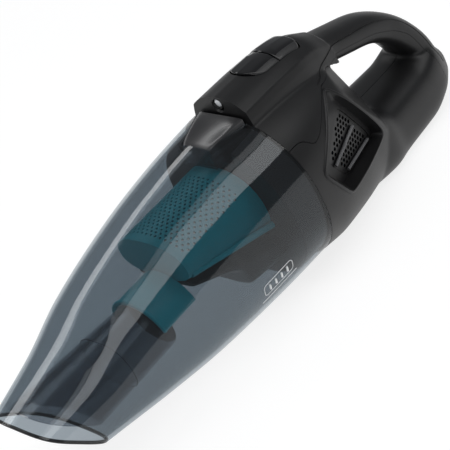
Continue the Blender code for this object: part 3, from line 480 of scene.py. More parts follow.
def slab(name, x, y, top, bottom):
    """Solid between two sheets of heights over one plan."""
    rows, columns = x.shape
    points = np.concatenate([np.stack([x, y, z], -1).reshape(-1, 3) for z in (top, bottom)])
    i, j = np.meshgrid(np.arange(rows - 1), np.arange(columns - 1), indexing="ij")
    a = (i * columns + j).ravel()
    sheet = np.stack([a, a + 1, a + columns + 1, a + columns], -1)
    edge = np.concatenate([np.arange(columns), np.arange(1, rows) * columns + columns - 1,
                           rows * columns - 2 - np.arange(columns - 1), np.arange(rows - 2, 0, -1) * columns])
    ahead = np.roll(edge, -1)
    half = rows * columns
    wall = np.stack([edge, ahead, ahead + half, edge + half], -1)
    return new_piece(name, points, np.concatenate([sheet, sheet + half, wall]).tolist())


u, v, x, y = wedge_grid(40, 48)
crest = curve_through(x, (TAB_FRONT, TAB_FRONT + 3, TAB_REAR - 8, TAB_REAR), (117.4, 118.8, 121.4, 122.2))
dish = 1.5 * np.sin(np.pi * np.clip(u, 0.02, 1)) ** 0.7 * (1 - v**2)
round_over = 0.7 * np.abs(v) ** 14
button = slab("release_tab", x, y, crest - dish - round_over, np.full_like(x, TAB_FLOOR + 4))
install(button, TAB, "gloss", "release_key", "release_button", sharp=40)

# %% [markdown]
# Under the button lies a bent steel leaf, made here at rest, with both its ends on the floor of
# the notch. In the tool it flattens towards that floor as the button goes down.

# %% Latch spring
LEAF_LOW, LEAF_HIGH, LEAF_THICK = TAB_FLOOR + 0.5, TAB_FLOOR + 3.6, 0.5
leaf_front, leaf_rear = TAB_FRONT + 4, TAB_REAR - 5
leaf_middle = (leaf_front + leaf_rear) / 2
under = [(leaf_front, LEAF_LOW), (leaf_front + 3, LEAF_LOW), (leaf_middle, LEAF_HIGH - 0.6),
         (leaf_rear - 3, LEAF_LOW), (leaf_rear, LEAF_LOW)]
over = [(leaf_rear, LEAF_LOW + LEAF_THICK), (leaf_rear - 2.6, LEAF_LOW + LEAF_THICK), (leaf_middle, LEAF_HIGH),
        (leaf_front + 2.6, LEAF_LOW + LEAF_THICK), (leaf_front, LEAF_LOW + LEAF_THICK)]
leaf = prism("leaf_spring", under + over, (-4, 4))
install(leaf, STEEL, "steel", "cup", "latch_spring")
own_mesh(leaf)

# %% [markdown]
# ## Inside the cup
# Four things show through the smoke: the dark duct from the mouth, a teal hood that turns the
# dust down, the perforated teal cage, and its black base. The duct is a tube that follows the
# cup near the mouth and is a plain oval further in.

# %% Inlet duct
DUCT_END, DUCT_Z = -120.0, 48.5
DUCT_WIDE, DUCT_HIGH, DUCT_WALL = 20.5, 19.0, 1.8


def duct_ring(x, inset, count=120):
    """Oval that widens steadily from its inner end to the cup's mouth, where it leans as the lip does."""
    t = (x - DUCT_END) / (DUCT_LIP - DUCT_END)
    low, high = curve_through(DUCT_LIP, CUP_X, CUP_BOTTOM) + 3.2, curve_through(DUCT_LIP, CUP_X, CUP_TOP) - 3.2
    top = DUCT_Z + DUCT_HIGH + (high - DUCT_Z - DUCT_HIGH) * t
    bottom = DUCT_Z - DUCT_HIGH + (low - DUCT_Z + DUCT_HIGH) * t
    middle, wide = (top + bottom) / 2, DUCT_WIDE + 5.7 * t
    y, z = oval(turn(count), wide - inset, top - inset, bottom + inset, middle, 2.2 + 0.8 * t)
    lean = MOUTH_SLANT * max(0.0, (t - 0.45) / 0.55) ** 1.5
    return np.column_stack([x - lean * (z - middle), y, z])


DUCT_LIP = MOUTH_X + 7.0
stations = np.linspace(DUCT_END, DUCT_LIP, 48)
duct = shell("duct_tube", [duct_ring(x, 0) for x in stations], [duct_ring(x, DUCT_WALL) for x in stations])
install(duct, DUCT, "duct", "cup", "inlet_duct")
joint = tube("duct_joint", duct_ring(-160.0, -0.15), 0.3, count=8, closed=True)
install(joint, SATIN, "inner", "cup")

# %% Flap valve
def flap_ring(x, size):
    """Oval of the flap, shrunk about its middle."""
    y, z = oval(turn(96), (DUCT_WIDE - 1) * size, DUCT_Z + (DUCT_HIGH - 1) * size,
                DUCT_Z - (DUCT_HIGH - 1) * size, DUCT_Z, 2.2)
    return np.column_stack([np.full(96, x), y, z])


flap = loft("rubber_flap", [flap_ring(DUCT_END + GAP, 0.98), flap_ring(DUCT_END + GAP + 0.3, 1.0),
                            flap_ring(DUCT_END + GAP + 0.9, 1.0), flap_ring(DUCT_END + GAP + 1.2, 0.98)])
install(flap, RUBBER, "rubber", "flap", "flap_valve")

# %% [markdown]
# The cage is a thin shell with a half-round roof over a floor that climbs towards the front.
# Its air holes are real holes: a few hundred small six-sided pins, staggered row by row, are
# cut out of the roof in one go. A picture of dots would look the same only from far away.

# %% Filter cage
COLLAR = 24.0
CAGE = 73.0
CAGE_WIDE, CAGE_TOP, CAGE_WALL = 34.0, 98.0, 1.8
CAGE_FRONT, CAGE_REAR = -COLLAR - CAGE, -COLLAR - GAP


def cage_ring(x, inset, count=120):
    """Half-round roof over a rising floor."""
    t = (x + COLLAR) / -CAGE
    base, top = 44.0 + 22.0 * t + inset, CAGE_TOP - t - inset
    y, z = oval(turn(count), CAGE_WIDE * (1 - 0.06 * t) - inset, top, base, base + (top - base) * 0.42, 2.35)
    return np.column_stack([np.full(count, x), y, z])


def holes_in_roof():
    """Centres and outward ways of the holes, on rows set half a pitch apart."""
    rows, columns, middle = 19, 17, np.array((0.0, 62.0))
    row, column = np.meshgrid(np.arange(rows), np.arange(columns), indexing="ij")
    x = CAGE_REAR - 11.5 - row * 3.0
    a = np.radians(24 + (column + 0.5 * (row % 2)) * 6.9)
    way = np.stack([np.zeros_like(a), np.cos(a), np.sin(a)], -1).reshape(-1, 3)
    centre = np.stack([x, middle[0] + 34 * np.cos(a), middle[1] + 34 * np.sin(a)], -1).reshape(-1, 3)
    return centre, way


places = np.linspace(CAGE_REAR, CAGE_FRONT, 24)
outer = np.array([cage_ring(x, 0) for x in places] + [cage_ring(CAGE_FRONT - 0.0, 0.5)])
inner = np.array([cage_ring(x, CAGE_WALL) for x in np.linspace(CAGE_REAR, CAGE_FRONT + CAGE_WALL, 24)])
rings = np.concatenate([outer, inner[::-1]])
count = rings.shape[1]
faces = grid_faces(len(rings), count, wrap_rows=True)
front_row = len(outer) - 1
faces = [f for k, f in enumerate(faces) if k // count != front_row]
faces += [list(range(front_row * count, (front_row + 1) * count)),
          list(range((front_row + 1) * count, (front_row + 2) * count))]
cage = new_piece("cage_shell", rings, faces)
combine(cage, pins("cage_holes", *holes_in_roof(), 0.98, 24.0))
install(cage, TEAL, "teal", "filter", "filter_cage")

for side, word in ((-1, "left"), (1, "right")):
    line = np.linspace((CAGE_REAR - 1, side * 33.6, 55.5), (CAGE_FRONT + 3, side * 29.5, 73.5), 20)
    ledge = tube(f"cage_ledge_{word}", line, 2.3, count=16)
    install(ledge, TEAL, "teal", "filter")

# %% Hood over the duct's end
HOOD_RADIUS, HOOD_EDGE = DUCT_WIDE + 5.0, 14.0
HOOD_Z = DUCT_Z - 1.0


def hood_ring(x, count=48):
    """Arch of constant wall: the outer arc one way and the inner arc back."""
    a = np.radians(np.linspace(HOOD_EDGE, 180 - HOOD_EDGE, count))
    out = np.column_stack([np.full(count, x), HOOD_RADIUS * np.cos(a), HOOD_Z + (HOOD_RADIUS - 1) * np.sin(a)])
    back = a[::-1]
    into = np.column_stack([np.full(count, x), (HOOD_RADIUS - 2) * np.cos(back),
                            HOOD_Z + (HOOD_RADIUS - 3) * np.sin(back)])
    return np.concatenate([out, into])


hood_rear, hood_front = CAGE_FRONT - GAP, DUCT_END - 8.0
hood = loft("dust_hood", [hood_ring(x) for x in np.linspace(hood_rear, hood_front, 16)])
wall = hood_ring(0.0)[:48]
combine(hood, loft("hood_back", [wall + (x, 0, 0) for x in (hood_rear - 2.0, hood_rear)]), "UNION")
install(hood, TEAL, "teal", "filter", "dust_deflector")
bead = tube("hood_bead", hood_ring(hood_front + 0.9)[:48] * (1, 0.985, 0.995) + (0, 0, 0.25), 1.25, count=12)
install(bead, TEAL, "teal", "filter")

# %% Base and collar
base_rings = []
for x in np.linspace(CAGE_REAR, CAGE_FRONT + 3, 30):
    t = (x + COLLAR) / -CAGE
    top = 44.0 + 22.0 * t - GAP
    low = curve_through(x, (CAGE_FRONT + 3, -60, -53, CAGE_REAR), (60.0, 41.0, 23.0, 21.0))
    wide = curve_through(x, (CAGE_FRONT + 3, -60, CAGE_REAR), (26.0, 31.0, 33.0))
    y, z = oval(turn(96), wide, top, low, top - (top - low) * 0.3, 2.8)
    base_rings.append(np.column_stack([np.full(96, x), y, z]))
install(loft("filter_tray", base_rings), SATIN, "inner", "filter", "filter_base")

clear = CUP_WALL + 0.7
collar_out = [cup_ring(x, clear + (0.6 if x == -COLLAR else 0.0)) for x in (-COLLAR, -23.2, -18, -12, -6, -GAP)]


def round_hole(x, radius):
    a = turn(200)
    return np.column_stack([np.full(200, x), radius * np.cos(a), AXIS_Z + radius * np.sin(a)])


collar_in = [round_hole(-COLLAR, 29.2), round_hole(-COLLAR + 3, 29.2), round_hole(-COLLAR + 3, 40.0),
             round_hole(-14, 40.0), round_hole(-7, 40.0), round_hole(-GAP, 40.0)]
collar = shell("collar_ring", collar_out, collar_in)
side = TAB_WIDE_REAR + 4.1
combine(collar, loft("dip", [[(x, -side, 103.8), (x, side, 103.8), (x, side, 140), (x, -side, 140)]
                             for x in (-COLLAR - 5, 5)]))
install(collar, SATIN, "inner", "filter", "filter_collar")

# %% [markdown]
# ## The housing
# Four plain solids meet here: the barrel round the motor, the low deck behind it, the loop of
# the handle, and the ridge with the buttons. A real moulding has no sharp line where they
# meet. So they are joined, skinned again in even small squares, and relaxed, which draws a
# soft fillet along every join. Straight cuts come afterwards, so that they stay crisp.

# %% Housing sections
BODY_X = (0, 20, 50, 75, 95, 110, 150, 170, 185)
BODY_WIDE = (1.0, 0.965, 0.86, 0.73, 0.62, 0.545, 0.48, 0.43, 0.30)
BODY_BOTTOM = (0, 0, 0, 0, 0, 0, 0.3, 5.5, 14)
BELLY_CUT = 3.0
SPINE_TOP = 135.0
SPINE_X = (0, 30, 56, 75, 92)
SPINE_DROP = (0.0, 1.0, 3.0, 7.0, 16.0)
RUN_ON = 12.0           # the shapes run this far past the seam, and are cut back to it


def ease(x, length):
    return min(1.0, max(0.0, x / length))


def barrel_ring(x, inset=0.0, count=180):
    """Oval over a belly sliced flat."""
    top = curve_through(x, (0, 20, 50, 75, 95), (120.8, 119.0, 115.0, 108.0, 100.0)) - inset
    bottom = 0.6 * (1 - ease(x, 15)) + inset
    half = HALF_WIDTH * curve_through(x, BODY_X, BODY_WIDE) - inset
    y, z = oval(turn(count), half, top, bottom - BELLY_CUT * ease(x, 20), AXIS_Z, 2.2 + 0.5 * ease(x, 80))
    return np.column_stack([np.full(count, x), y, np.maximum(z, bottom)])


def deck_ring(x, inset=0.0, count=180):
    """Low squarish oval behind the barrel."""
    top = curve_through(x, (55, 75, 95, 107, 150, 160, 170, 185), (84, 72, 54, 46, 45, 47, 50, 38)) - inset
    bottom = curve_through(x, BODY_X, BODY_BOTTOM) + inset
    merge = ease(x - 60, 40)
    narrow = 0.78 + 0.22 * merge * merge * (3 - 2 * merge)      # its front end stays inside the barrel
    half = HALF_WIDTH * curve_through(x, BODY_X, BODY_WIDE) * narrow - inset
    y, z = oval(turn(count), half, top, bottom - BELLY_CUT, (top + bottom) / 2, 2.7 + 0.4 * merge)
    return np.column_stack([np.full(count, x), y, np.maximum(z, bottom)])


def handle_rings(inset=0.0, count=72, steps=48):
    """Oval swept along the grip's bent middle line, each ring square to the line."""
    line_x = (62, 80, 97, 115, 135.8, 153, 164.2, 172, 175.5)
    line_z = (111, 107.5, 102, 96, 88.5, 76.5, 62.3, 45, 23)
    s = np.linspace(0, 1, steps)
    knots = np.linspace(0, 1, len(line_x))
    px, pz = curve_through(s, knots, line_x), curve_through(s, knots, line_z)
    dx, dz = np.gradient(px), np.gradient(pz)
    size = np.hypot(dx, dz)
    dx, dz = dx / size, dz / size
    wide = 1 + 0.25 * np.clip((s - 0.6) / 0.4, 0, 1) + 0.2 * np.clip((0.25 - s) / 0.25, 0, 1)
    rings = []
    for k in range(steps):
        y, d = oval(turn(count), 16.5 * wide[k] - inset, 11.0 - inset, inset - 11.0, 0.0, 2.6)
        rings.append(np.column_stack([px[k] - dz[k] * d, y, pz[k] + dx[k] * d]))
    return rings


def ridge_top(x):
    return SPINE_TOP - curve_through(x, SPINE_X, SPINE_DROP)


def spine_ring(x, inset=0.0):
    """Arched top down to a crease, then sides that spread into the barrel."""
    top = ridge_top(x) - inset
    w = curve_through(x, SPINE_X, (24.5, 24.0, 23.0, 20.0, 16.5)) - inset * 0.8
    s = np.linspace(0, 1, 16)
    y = np.concatenate([s * w, [w + 2.0, w + 4.0]])
    z = np.concatenate([top - curve_through(s, (0, 0.35, 0.7, 1), (0, 1.2, 4.2, 9.0)), [top - 15.0, top - 24.0]])
    return np.column_stack([np.full(2 * len(y) - 1, x), np.concatenate([y, -y[:0:-1]]),
                            np.concatenate([z, z[:0:-1]])])


def block(name, x, y, z):
    return loft(name, [[(a, y[0], z[0]), (a, y[1], z[0]), (a, y[1], z[1]), (a, y[0], z[1])] for a in x])


def shoulder(side, inset):
    """Block behind the slanted plane that ends the barrel's flank, ahead of the grip's loop."""
    down, inward = np.array((26.5, 0.0, -55.0)), np.array((0.75, 1.0, 0.0))
    out = np.cross(down, inward)
    start = np.array((62.6, -40.0, 102.5)) - out / np.linalg.norm(out) * inset
    flat = [start + down * u + inward * v for u, v in ((-0.6, -40), (1.0, -40), (1.0, 40), (-0.6, 40))]
    return loft("shoulder", [[(p[0] + far, side * -p[1], p[2]) for p in flat] for far in (0.0, 60.0)])


def body(name, inset, front):
    """Barrel, deck and handle in one."""
    made = loft(name, [barrel_ring(x, inset) for x in np.linspace(front, 92 - inset, 54)])
    for side in (-1, 1):
        combine(made, shoulder(side, inset))
    rear = 185.0 if inset == 0 else 172.0
    combine(made, loft("deck", [deck_ring(x, inset) for x in np.linspace(60, rear, 64)]), "UNION")
    return combine(made, loft("handle", handle_rings(inset)), "UNION")


# %% Join, skin and relax
outer = body("outer", 0.0, -RUN_ON)
melt(outer, 1.1, 22)
combine(outer, loft("spine", [spine_ring(x) for x in np.linspace(-RUN_ON, 92, 50)]), "UNION")
melt(outer, 0.95, 3)
combine(outer, block("ahead", (-60, GAP), (-90, 90), (-30, 200)))
nose_cut = [(-30, 117.0), (GAP, 117.0), (GAP + 1.8, 140.0), (-30, 140.0)]
combine(outer, prism("nose_slant", nose_cut, (-60, 60)))
print("relaxed housing:", len(outer.data.polygons), "faces")

# %% [markdown]
# The side recess is a kite shape with a raised lip. The lip is a round bead laid on the skin:
# each point of the kite is dropped onto the housing from the side, so the bead follows the
# curve. The recess is then cut inside it with sloping walls, down to a slanted floor.

# %% Side recess
KITE = np.array([(12.5, 73.5), (54.5, 102.5), (59.5, 101.0), (86.0, 46.0), (82.0, 40.5), (31.0, 40.0),
                 (26.0, 42.5), (12.0, 68.0)])
KITE_MIDDLE = KITE.mean(axis=0)
FLOOR_FRONT, FLOOR_REAR = 48.0, 33.0
WINDOW = 0.66
VENT_SHIFT = np.array((6.0, -5.0))


def resample(outline, spacing):
    """Even points along a closed outline whose corners were rounded by cutting them twice."""
    points = np.asarray(outline, float)
    for _ in range(3):
        ahead = np.roll(points, -1, 0)
        points = np.stack([0.8 * points + 0.2 * ahead, 0.2 * points + 0.8 * ahead], 1).reshape(-1, 2)
    loop = np.vstack([points, points[:1]])
    far = np.concatenate([[0], np.cumsum(np.linalg.norm(np.diff(loop, axis=0), axis=1))])
    at = np.linspace(0, far[-1], int(far[-1] / spacing), endpoint=False)
    return np.column_stack([np.interp(at, far, loop[:, 0]), np.interp(at, far, loop[:, 1])])


def on_skin(flat, side, tree):
    """Points of a side view dropped onto the housing from that side."""
    hits = []
    for x, z in flat:
        hit = tree.ray_cast(Vector((SEAM + x * MM, side * 0.2, z * MM)), Vector((0, -side, 0)))[0]
        hits.append((x, hit.y / MM if hit else side * 17.0, z))
    return np.array(hits)


def tree_of(piece):
    return BVHTree.FromPolygons([v.co[:] for v in piece.data.vertices],
                                [p.vertices[:] for p in piece.data.polygons])


def floor_y(x):
    """Depth of the recess floor, which slants in towards the rear."""
    return FLOOR_FRONT + (FLOOR_REAR - FLOOR_FRONT) * (x - KITE[0, 0]) / (KITE[4, 0] - KITE[0, 0])


def shrink(outline, amount):
    away = outline - KITE_MIDDLE
    return outline - away / np.linalg.norm(away, axis=1, keepdims=True) * amount


def kite_ring(outline, side, y):
    return np.column_stack([outline[:, 0], np.full(len(outline), side) * y, outline[:, 1]])


def recess(name, side, kite, grow=0.0):
    """Pocket with sloping walls: small at the floor, full size from the skin outwards."""
    flat = shrink(kite, -grow)
    skin_y = np.abs(on_skin(kite, side, skin_tree)[:, 1])
    deep = shrink(KITE_MIDDLE + VENT_SHIFT * 0.4 + (kite - KITE_MIDDLE) * 0.86, -grow)
    return loft(name, [kite_ring(deep, side, floor_y(deep[:, 0]) - grow),
                       kite_ring(flat, side, skin_y + 1.0), kite_ring(flat, side, np.full(len(flat), 80.0))])


skin_tree = tree_of(outer)
kite = resample(KITE, 2.5)
hollow = body("hollow", WALL, -3.0)
for side in (-1, 1):
    lip = on_skin(kite, side, skin_tree) - (0, side * 0.35, 0)
    combine(outer, tube("lip", lip, 1.35, closed=True), "UNION")
for side in (-1, 1):
    combine(outer, recess("recess", side, shrink(kite, 0.6)))
    combine(hollow, recess("liner", side, shrink(kite, 0.6), WALL))

# %% [markdown]
# A shallow groove frames the side of the grip: it leaves the recess, follows the handle round
# the loop and runs down the tail. It is a thin bent rod, laid on the skin and cut away.

# %% Groove round the grip
FRAME = [(57, 105.5), (64, 105.5), (76, 108.0), (92, 107.5), (112, 102.5), (134, 96.0), (152, 86.0),
         (165, 72.0), (173, 54.0), (178, 30.0)]
fine = np.linspace(0, 1, 160)
knots = np.linspace(0, 1, len(FRAME))
frame_line = np.column_stack([curve_through(fine, knots, [p[k] for p in FRAME]) for k in (0, 1)])
for side in (-1, 1):
    combine(outer, tube("frame_groove", on_skin(frame_line, side, skin_tree), 0.6, 10))

# %% [markdown]
# ## Top cover and two lower halves
# The housing comes apart along one bent line at the side and down its middle. The cover takes
# everything above the line. Below it the shell splits into a left and a right half. A gap of
# less than half a millimetre between them is what shows as the fine dark parting line.

# %% Split the housing
CORNERS = [(-8.0, 98.0), (12.0, 98.0), (21.0, 88.0), (56.0, 104.5), (66.0, 103.0), (80.0, 102.5),
           (96.0, 100.0), (108.0, 96.5), (134.0, 88.0), (152.0, 77.0), (162.0, 66.0), (168.0, 50.0),
           (171.0, 30.0), (173.0, 6.0), (176.0, -10.0)]


def round_corners(line):
    """Open line whose corners are cut off three times, which bends it smoothly."""
    points = np.array(line)
    for _ in range(3):
        ahead, behind = points[1:], points[:-1]
        cut = np.stack([0.82 * behind + 0.18 * ahead, 0.18 * behind + 0.82 * ahead], 1).reshape(-1, 2)
        points = np.vstack([points[:1], cut[1:-1], points[-1:]])
    return points.tolist()


PARTING = [tuple(p) for p in round_corners(CORNERS)]
POWER_X, TURBO_X = (26.0, 50.4), (51.2, 74.0)
BUTTON_HALF, BUTTON_PROUD = 15.0, 1.2
LAMP_Z, LAMP_BORE = 129.4, 3.6
LAMP_DISH = ((-3.0, 6.6), (0.0, 6.0), (3.0, 4.4))       # place along X and radius
LAMP_DISH_DROP = 1.2


def key_plan(x, grow, front, rear, count=24):
    """Plan of the keys: straight sides, and round ends where asked."""
    w, x0, x1 = BUTTON_HALF + grow, x[0] - grow, x[1] + grow
    a = np.radians(np.linspace(90, 270, count))
    nose = np.column_stack([x0 + 13 + 13 * np.cos(a), w * np.sin(a)]) if front else [(x0, w), (x0, -w)]
    tail = np.column_stack([x1 - 6 - 6 * np.cos(a), -w * np.sin(a)]) if rear else [(x1, -w), (x1, w)]
    return np.concatenate([nose, tail])


def upright(name, plan, z):
    return loft(name, [np.column_stack([plan, np.full(len(plan), h)]) for h in z])


cover = twin(outer, "cover_shell")
spine_hollow = loft("spine_hollow", [spine_ring(x, WALL) for x in np.linspace(GAP + WALL, 92, 30)])
combine(cover, combine(twin(hollow, "cover_hollow"), spine_hollow, "UNION"))
above = PARTING + [(TAIL + 45, -10.0), (TAIL + 45, 170.0), (-20.0, 170.0), (-20.0, 98.0)]
combine(cover, prism("above", above, (-90, 90)), "INTERSECT")
combine(cover, upright("well", key_plan((POWER_X[0], TURBO_X[1]), 0.8, True, True), (108, 150)))
lamp_hole = [np.column_stack([np.full(40, x), LAMP_BORE * np.cos(turn(40)),
                              LAMP_Z + LAMP_BORE * np.sin(turn(40))]) for x in (-6, 10)]
combine(cover, loft("lamp_hole", lamp_hole))
lamp_dish = [np.column_stack([np.full(40, x), r * np.cos(turn(40)),
                              LAMP_Z - LAMP_DISH_DROP + r * np.sin(turn(40))]) for x, r in LAMP_DISH]
combine(cover, loft("lamp_dish", lamp_dish))
install(cover, MATTE, "cover", "housing", "top_cover", sharp=35)

lower = combine(outer, hollow)
below = [(x - GAP / 2, z - GAP * (1.0 if x < 60 else 0.4)) for x, z in PARTING]      # finer along the grip
below += [(-20.0, -10.0), (-20.0, 98.0 - GAP)]
combine(lower, prism("below", below, (-90, 90)), "INTERSECT")
window = KITE_MIDDLE + VENT_SHIFT + (resample(KITE, 2.5) - KITE_MIDDLE) * WINDOW
for side in (-1, 1):
    y = floor_y(window[:, 0])
    combine(lower, loft("window", [kite_ring(window, side, y - WALL - 1),
                                   kite_ring(window, side, np.full(len(y), 80.0))]))
SCREWS, SCREW_DEPTH = [(15.0, 9.5), (158.0, 34.0), (86.0, 84.0)], 9.0
JACK_X, JACK_Z = 128.0, 26.0
for word, side, span in (("left", -1, (-90, -GAP / 2)), ("right", 1, (GAP / 2, 90))):
    half = twin(lower, f"{word}_shell")
    combine(half, block("side", (-30, TAIL + 45), span, (-20, 170)), "INTERSECT")
    if word == "right":
        for x, z in SCREWS:
            combine(half, tube("head_hole", [(x, y, z) for y in (SCREW_DEPTH, 30, 60, 90)], 3.2, 32))
        combine(half, tube("jack_hole", [(JACK_X, y, JACK_Z) for y in (10, 20, 40, 60)], 4.4, 40))
    install(half, MATTE, "housing", "housing", f"{word}_housing", sharp=35)
bpy.data.objects.remove(lower)

# %% [markdown]
# ## Vents
# Each recess floor has a plate with rows of six-sided holes and two raised fins across it.
# The holes are cut, as in the cage. Only those whose middle lies well inside the plate and
# clear of a fin are kept, so that every hole is whole.

# %% Grilles and fins
FINS = [((65.0, 65.0), (33.0, 57.5)), ((73.5, 46.0), (43.0, 46.0))]


def edge_distance(points, outline):
    """Signed distance to a convex outline, positive inside: the least distance to any of its edges."""
    along = np.roll(outline, -1, 0) - outline
    normal = np.column_stack([-along[:, 1], along[:, 0]]) / np.linalg.norm(along, axis=1, keepdims=True)
    reach = np.einsum("pek,ek->pe", points[:, None] - outline[None], normal)
    facing = np.sign(np.sum((outline.mean(axis=0) - outline) * normal, axis=1))
    return (reach * facing).min(axis=1)


def segment_distance(points, start, end):
    start, along = np.array(start), np.subtract(end, start)
    t = np.clip((points - start) @ along / (along @ along), 0, 1)
    return np.linalg.norm(points - start - t[:, None] * along, axis=1)


plate_edge = shrink(window, GAP)
row, column = np.meshgrid(np.arange(-12, 13), np.arange(-12, 13), indexing="ij")
spots = np.column_stack([(column * 3.7 + 1.85 * (row % 2)).ravel(), (row * 3.2).ravel()])
spots = KITE_MIDDLE + VENT_SHIFT + spots
inside = edge_distance(spots, plate_edge) > 2.3
for fin in FINS:
    inside &= segment_distance(spots, *fin) > 3.0
spots = spots[inside]
for word, side in (("left", -1), ("right", 1)):
    y = floor_y(plate_edge[:, 0])
    plate = loft(f"grille_{word}", [kite_ring(plate_edge, side, y - 1.8), kite_ring(plate_edge, side, y - 0.4)])
    centres = np.column_stack([spots[:, 0], side * (floor_y(spots[:, 0]) - 1.1), spots[:, 1]])
    ways = np.tile((0.0, float(side), 0.0), (len(centres), 1))
    combine(plate, pins("vent_holes", centres, ways, 1.45, 8.0))
    install(plate, SATIN, "grille", "housing", f"vent_grille_{word}")
    for number, (start, end) in enumerate(FINS, 1):
        line = np.linspace(start, end, 12)
        line = np.column_stack([line[:, 0], side * (floor_y(line[:, 0]) + 1.0), line[:, 1]])
        bar = tube(f"fin_{word}_{number}", line, 1.15)
        install(bar, NYLON, "grille", "housing")
print(len(spots), "holes in each grille")

# %% [markdown]
# ## Keys and lamp
# The two keys share one crowned surface, so they are cut from the same formula: polished on
# top, falling away past a crease to a satin flank painted a shade lighter as a highlight. The lamp is a small clear
# dome.

# %% Keys
def crown(x, y):
    """Height of the keys' skin at a place."""
    return ridge_top(x) + BUTTON_PROUD - curve_through(np.abs(y), (0, 8, 11, 15, 17), (0, 0.8, 1.9, 5.2, 8.0))


def key(name, x, front, rear, body_name, node):
    """Rings of the plan shrink to its middle; each point takes the crown's height."""
    plan, middle = key_plan(x, 0.0, front, rear, 40), np.array([(x[0] + x[1]) / 2, 0.0])
    fine = np.vstack([np.linspace(plan[k], plan[(k + 1) % len(plan)], 5)[:-1] for k in range(len(plan))])
    rings = [np.column_stack([fine, np.full(len(fine), ridge_top(x[1]) - 8.5)])]
    for size, sink in [(1.0, 0.7), (0.985, 0.2), (0.96, 0.0), *[(s, 0.0) for s in np.linspace(0.9, 0.04, 18)]]:
        ring = middle + (fine - middle) * size
        rings.append(np.column_stack([ring, crown(ring[:, 0], ring[:, 1]) - sink]))
    made = loft(name, rings)
    return install(made, GLOSS_PAINTED_EDGE, "gloss", body_name, node, sharp=50)


key("power_key_cap", POWER_X, True, False, "power_key", "power_button")
key("turbo_key_cap", TURBO_X, False, True, "turbo_key", "turbo_button")

# %% Lamp
def turned_x(name, profile, z, count=48):
    """Profile of (x, radius) turned about a line along X, with a small flat at each end."""
    a = turn(count)
    return loft(name, [np.column_stack([np.full(count, x), r * np.cos(a), z + r * np.sin(a)]) for x, r in profile])


dome = turned_x("lamp_dome", [(4.2, 3.1), (2.6, 3.1), (2.1, 2.7), (1.75, 1.8), (1.6, 0.6)], LAMP_Z)
install(dome, LENS, "lens", "housing", "headlight_lens")
a = turn(64)
ring = np.column_stack([np.full(64, 2.2), 4.0 * np.cos(a), LAMP_Z + 4.0 * np.sin(a)])
install(tube("lamp_ring", ring, 0.7, closed=True), SATIN, "cover", "housing")

# %% [markdown]
# ## Printed marks
# The cup carries a small round-cornered frame with four charge bars in it and a rule below,
# all thin and white. They are fine rods lifted a hair off the skin, and they hold no words.

# %% Charge mark
def on_cup(points, lift=0.12):
    """Side-view points on the cup's near flank, as 3-D points just outside its skin."""
    made = []
    for x, z in points:
        angle = np.linspace(math.pi, 1.5 * math.pi, 400) if z < AXIS_Z else np.linspace(0.5 * math.pi, math.pi, 400)
        y, height = cup_section(np.full(400, float(x)), angle, -lift)
        k = np.abs(height - z).argmin()
        made.append((x, y[k], z))
    return np.array(made)


MARK_X, MARK_Z, MARK_HALF, MARK_HIGH, MARK_ROUND = -55.0, 41.0, 14.0, 4.2, 2.6
corner = [(MARK_X + sx * (MARK_HALF - MARK_ROUND) + MARK_ROUND * math.cos(a),
           MARK_Z + sz * (MARK_HIGH - MARK_ROUND) + MARK_ROUND * math.sin(a))
          for sx, sz, first in ((1, 1, 0), (-1, 1, 90), (-1, -1, 180), (1, -1, 270))
          for a in np.radians(np.linspace(first, first + 90, 9))]
edge = [np.add(np.multiply(p, 1 - t), np.multiply(q, t))
        for p, q in zip(corner, corner[1:] + corner[:1]) for t in (0, 0.33, 0.66)]
install(tube("mark_frame", on_cup(edge), 0.22, 8, closed=True), PRINT, "lens", "cup")
for number, x in enumerate((-63.5, -57.8, -52.1, -46.4), 1):
    bar = on_cup([(x, z) for z in np.linspace(MARK_Z - 1.9, MARK_Z + 1.9, 5)])
    install(tube(f"mark_bar_{number}", bar, 0.75, 8), PRINT, "lens", "cup")
rule = on_cup([(x, 33.5) for x in np.linspace(-72, -38, 20)])
install(tube("mark_rule", rule, 0.25, 8), PRINT, "lens", "cup")

# %% [markdown]
# ## Floor, light and camera
# The tool lies on a white table. A broad soft box overhead draws the long pale band on the
# cup, and a narrow strip behind draws the thin streak on its far shoulder. Where a reflection
# falls is set by where the light is, so both come from real lamps and nothing is painted.

# %% Floor
floor_mesh = bpy.data.meshes.new("floor")
FLOOR_HALF, FLOOR_DROP = 6, 0.0004
floor_corners = [(x * FLOOR_HALF, y * FLOOR_HALF, -FLOOR_DROP) for x, y in ((-1, -1), (1, -1), (1, 1), (-1, 1))]
floor_mesh.from_pydata(floor_corners, [], [(0, 1, 2, 3)])
floor = bpy.data.objects.new("floor", floor_mesh)
bpy.context.scene.collection.objects.link(floor)
table = bpy.data.materials.new("white_table")
table.use_nodes = True
shader = table.node_tree.nodes["Principled BSDF"]
shader.inputs["Base Color"].default_value = (0.32, 0.32, 0.32, 1)
shader.inputs["Roughness"].default_value = 0.9
shader.inputs["Specular IOR Level"].default_value = 0.0
shader.inputs["Emission Color"].default_value = (1, 1, 1, 1)
shader.inputs["Emission Strength"].default_value = 0.80
floor_mesh.materials.append(table)
floor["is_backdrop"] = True

# %% Lights
world = bpy.data.worlds.new("studio")
bpy.context.scene.world = world
world.use_nodes = True
world.node_tree.nodes["Background"].inputs["Color"].default_value = (0.93, 0.96, 1.0, 1)
world.node_tree.nodes["Background"].inputs["Strength"].default_value = 0.26
TARGET = Vector((SEAM - 0.02, 0, 0.065))


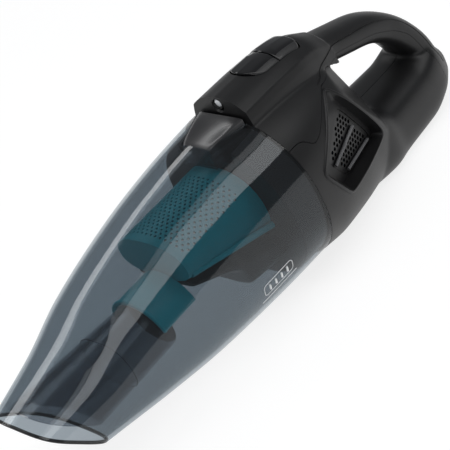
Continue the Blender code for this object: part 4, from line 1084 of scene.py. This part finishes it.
def softbox(name, centre, out, along, size, radiance):
    """Rectangle lamp at a place off the tool; its power follows from how bright it looks."""
    lamp = bpy.data.lights.new(name, "AREA")
    lamp.shape, lamp.size, lamp.size_y = "RECTANGLE", size[0], size[1]
    lamp.energy = radiance * math.pi * size[0] * size[1]
    holder = bpy.data.objects.new(name, lamp)
    bpy.context.scene.collection.objects.link(holder)
    out = Vector(out).normalized()
    x_axis = (Vector(along) - out * out.dot(Vector(along))).normalized()
    holder.matrix_world = Matrix.Translation(TARGET + Vector(centre)) @ Matrix(
        (x_axis, out.cross(x_axis), out)).transposed().to_4x4()
    return holder


softbox("overhead", (0.257, -0.495, 1.20), (0, 0, 1), (0.79, -0.61, 0), (2.2, 0.56), 2.4)
softbox("overhead_far", (0.489, -0.195, 1.20), (0, 0, 1), (0.79, -0.61, 0), (2.2, 0.16), 0.9)
softbox("rear_strip", (0.08, 1.11, 0.84), (0.06, 0.79, 0.60), (1, 0, 0), (1.3, 0.12), 4.5)
softbox("side_fill", (-1.2, -0.96, 0.48), (-0.75, -0.60, 0.30), (0, 0, 1), (0.9, 0.5), 0.8)

# %% [markdown]
# The camera looks down at the tool from the left and is turned about its own axis, so that
# the nozzle points to the lower left corner.

# %% Camera
AZIMUTH, ELEVATION, ROLL = (math.radians(v) for v in (-34.0, 33.0, 27.0))
back = Vector((math.sin(AZIMUTH) * math.cos(ELEVATION), -math.cos(AZIMUTH) * math.cos(ELEVATION),
               math.sin(ELEVATION)))
level = Vector((math.cos(AZIMUTH), math.sin(AZIMUTH), 0))
upward = back.cross(level)
right = math.cos(ROLL) * level - math.sin(ROLL) * upward
camera = bpy.data.cameras.new("camera")
camera.sensor_width, camera.lens = 36.0, 132.0
camera.shift_x, camera.shift_y = -0.071, -0.087
eye = bpy.data.objects.new("camera", camera)
bpy.context.scene.collection.objects.link(eye)
eye.matrix_world = Matrix.Translation(Vector((SEAM, 0, AXIS_Z * MM)) + back * 1.1) @ Matrix(
    (right, back.cross(right), back)).transposed().to_4x4()
bpy.context.scene.camera = eye
bpy.context.scene.view_settings.view_transform = "Standard"

# %% Sizes and the end
model_low, model_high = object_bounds()
grown = [[round(v / MM, 2) for v in past] for past in (cad_low - model_low, model_high - cad_high)]
print("model grew by, mm:", *grown)
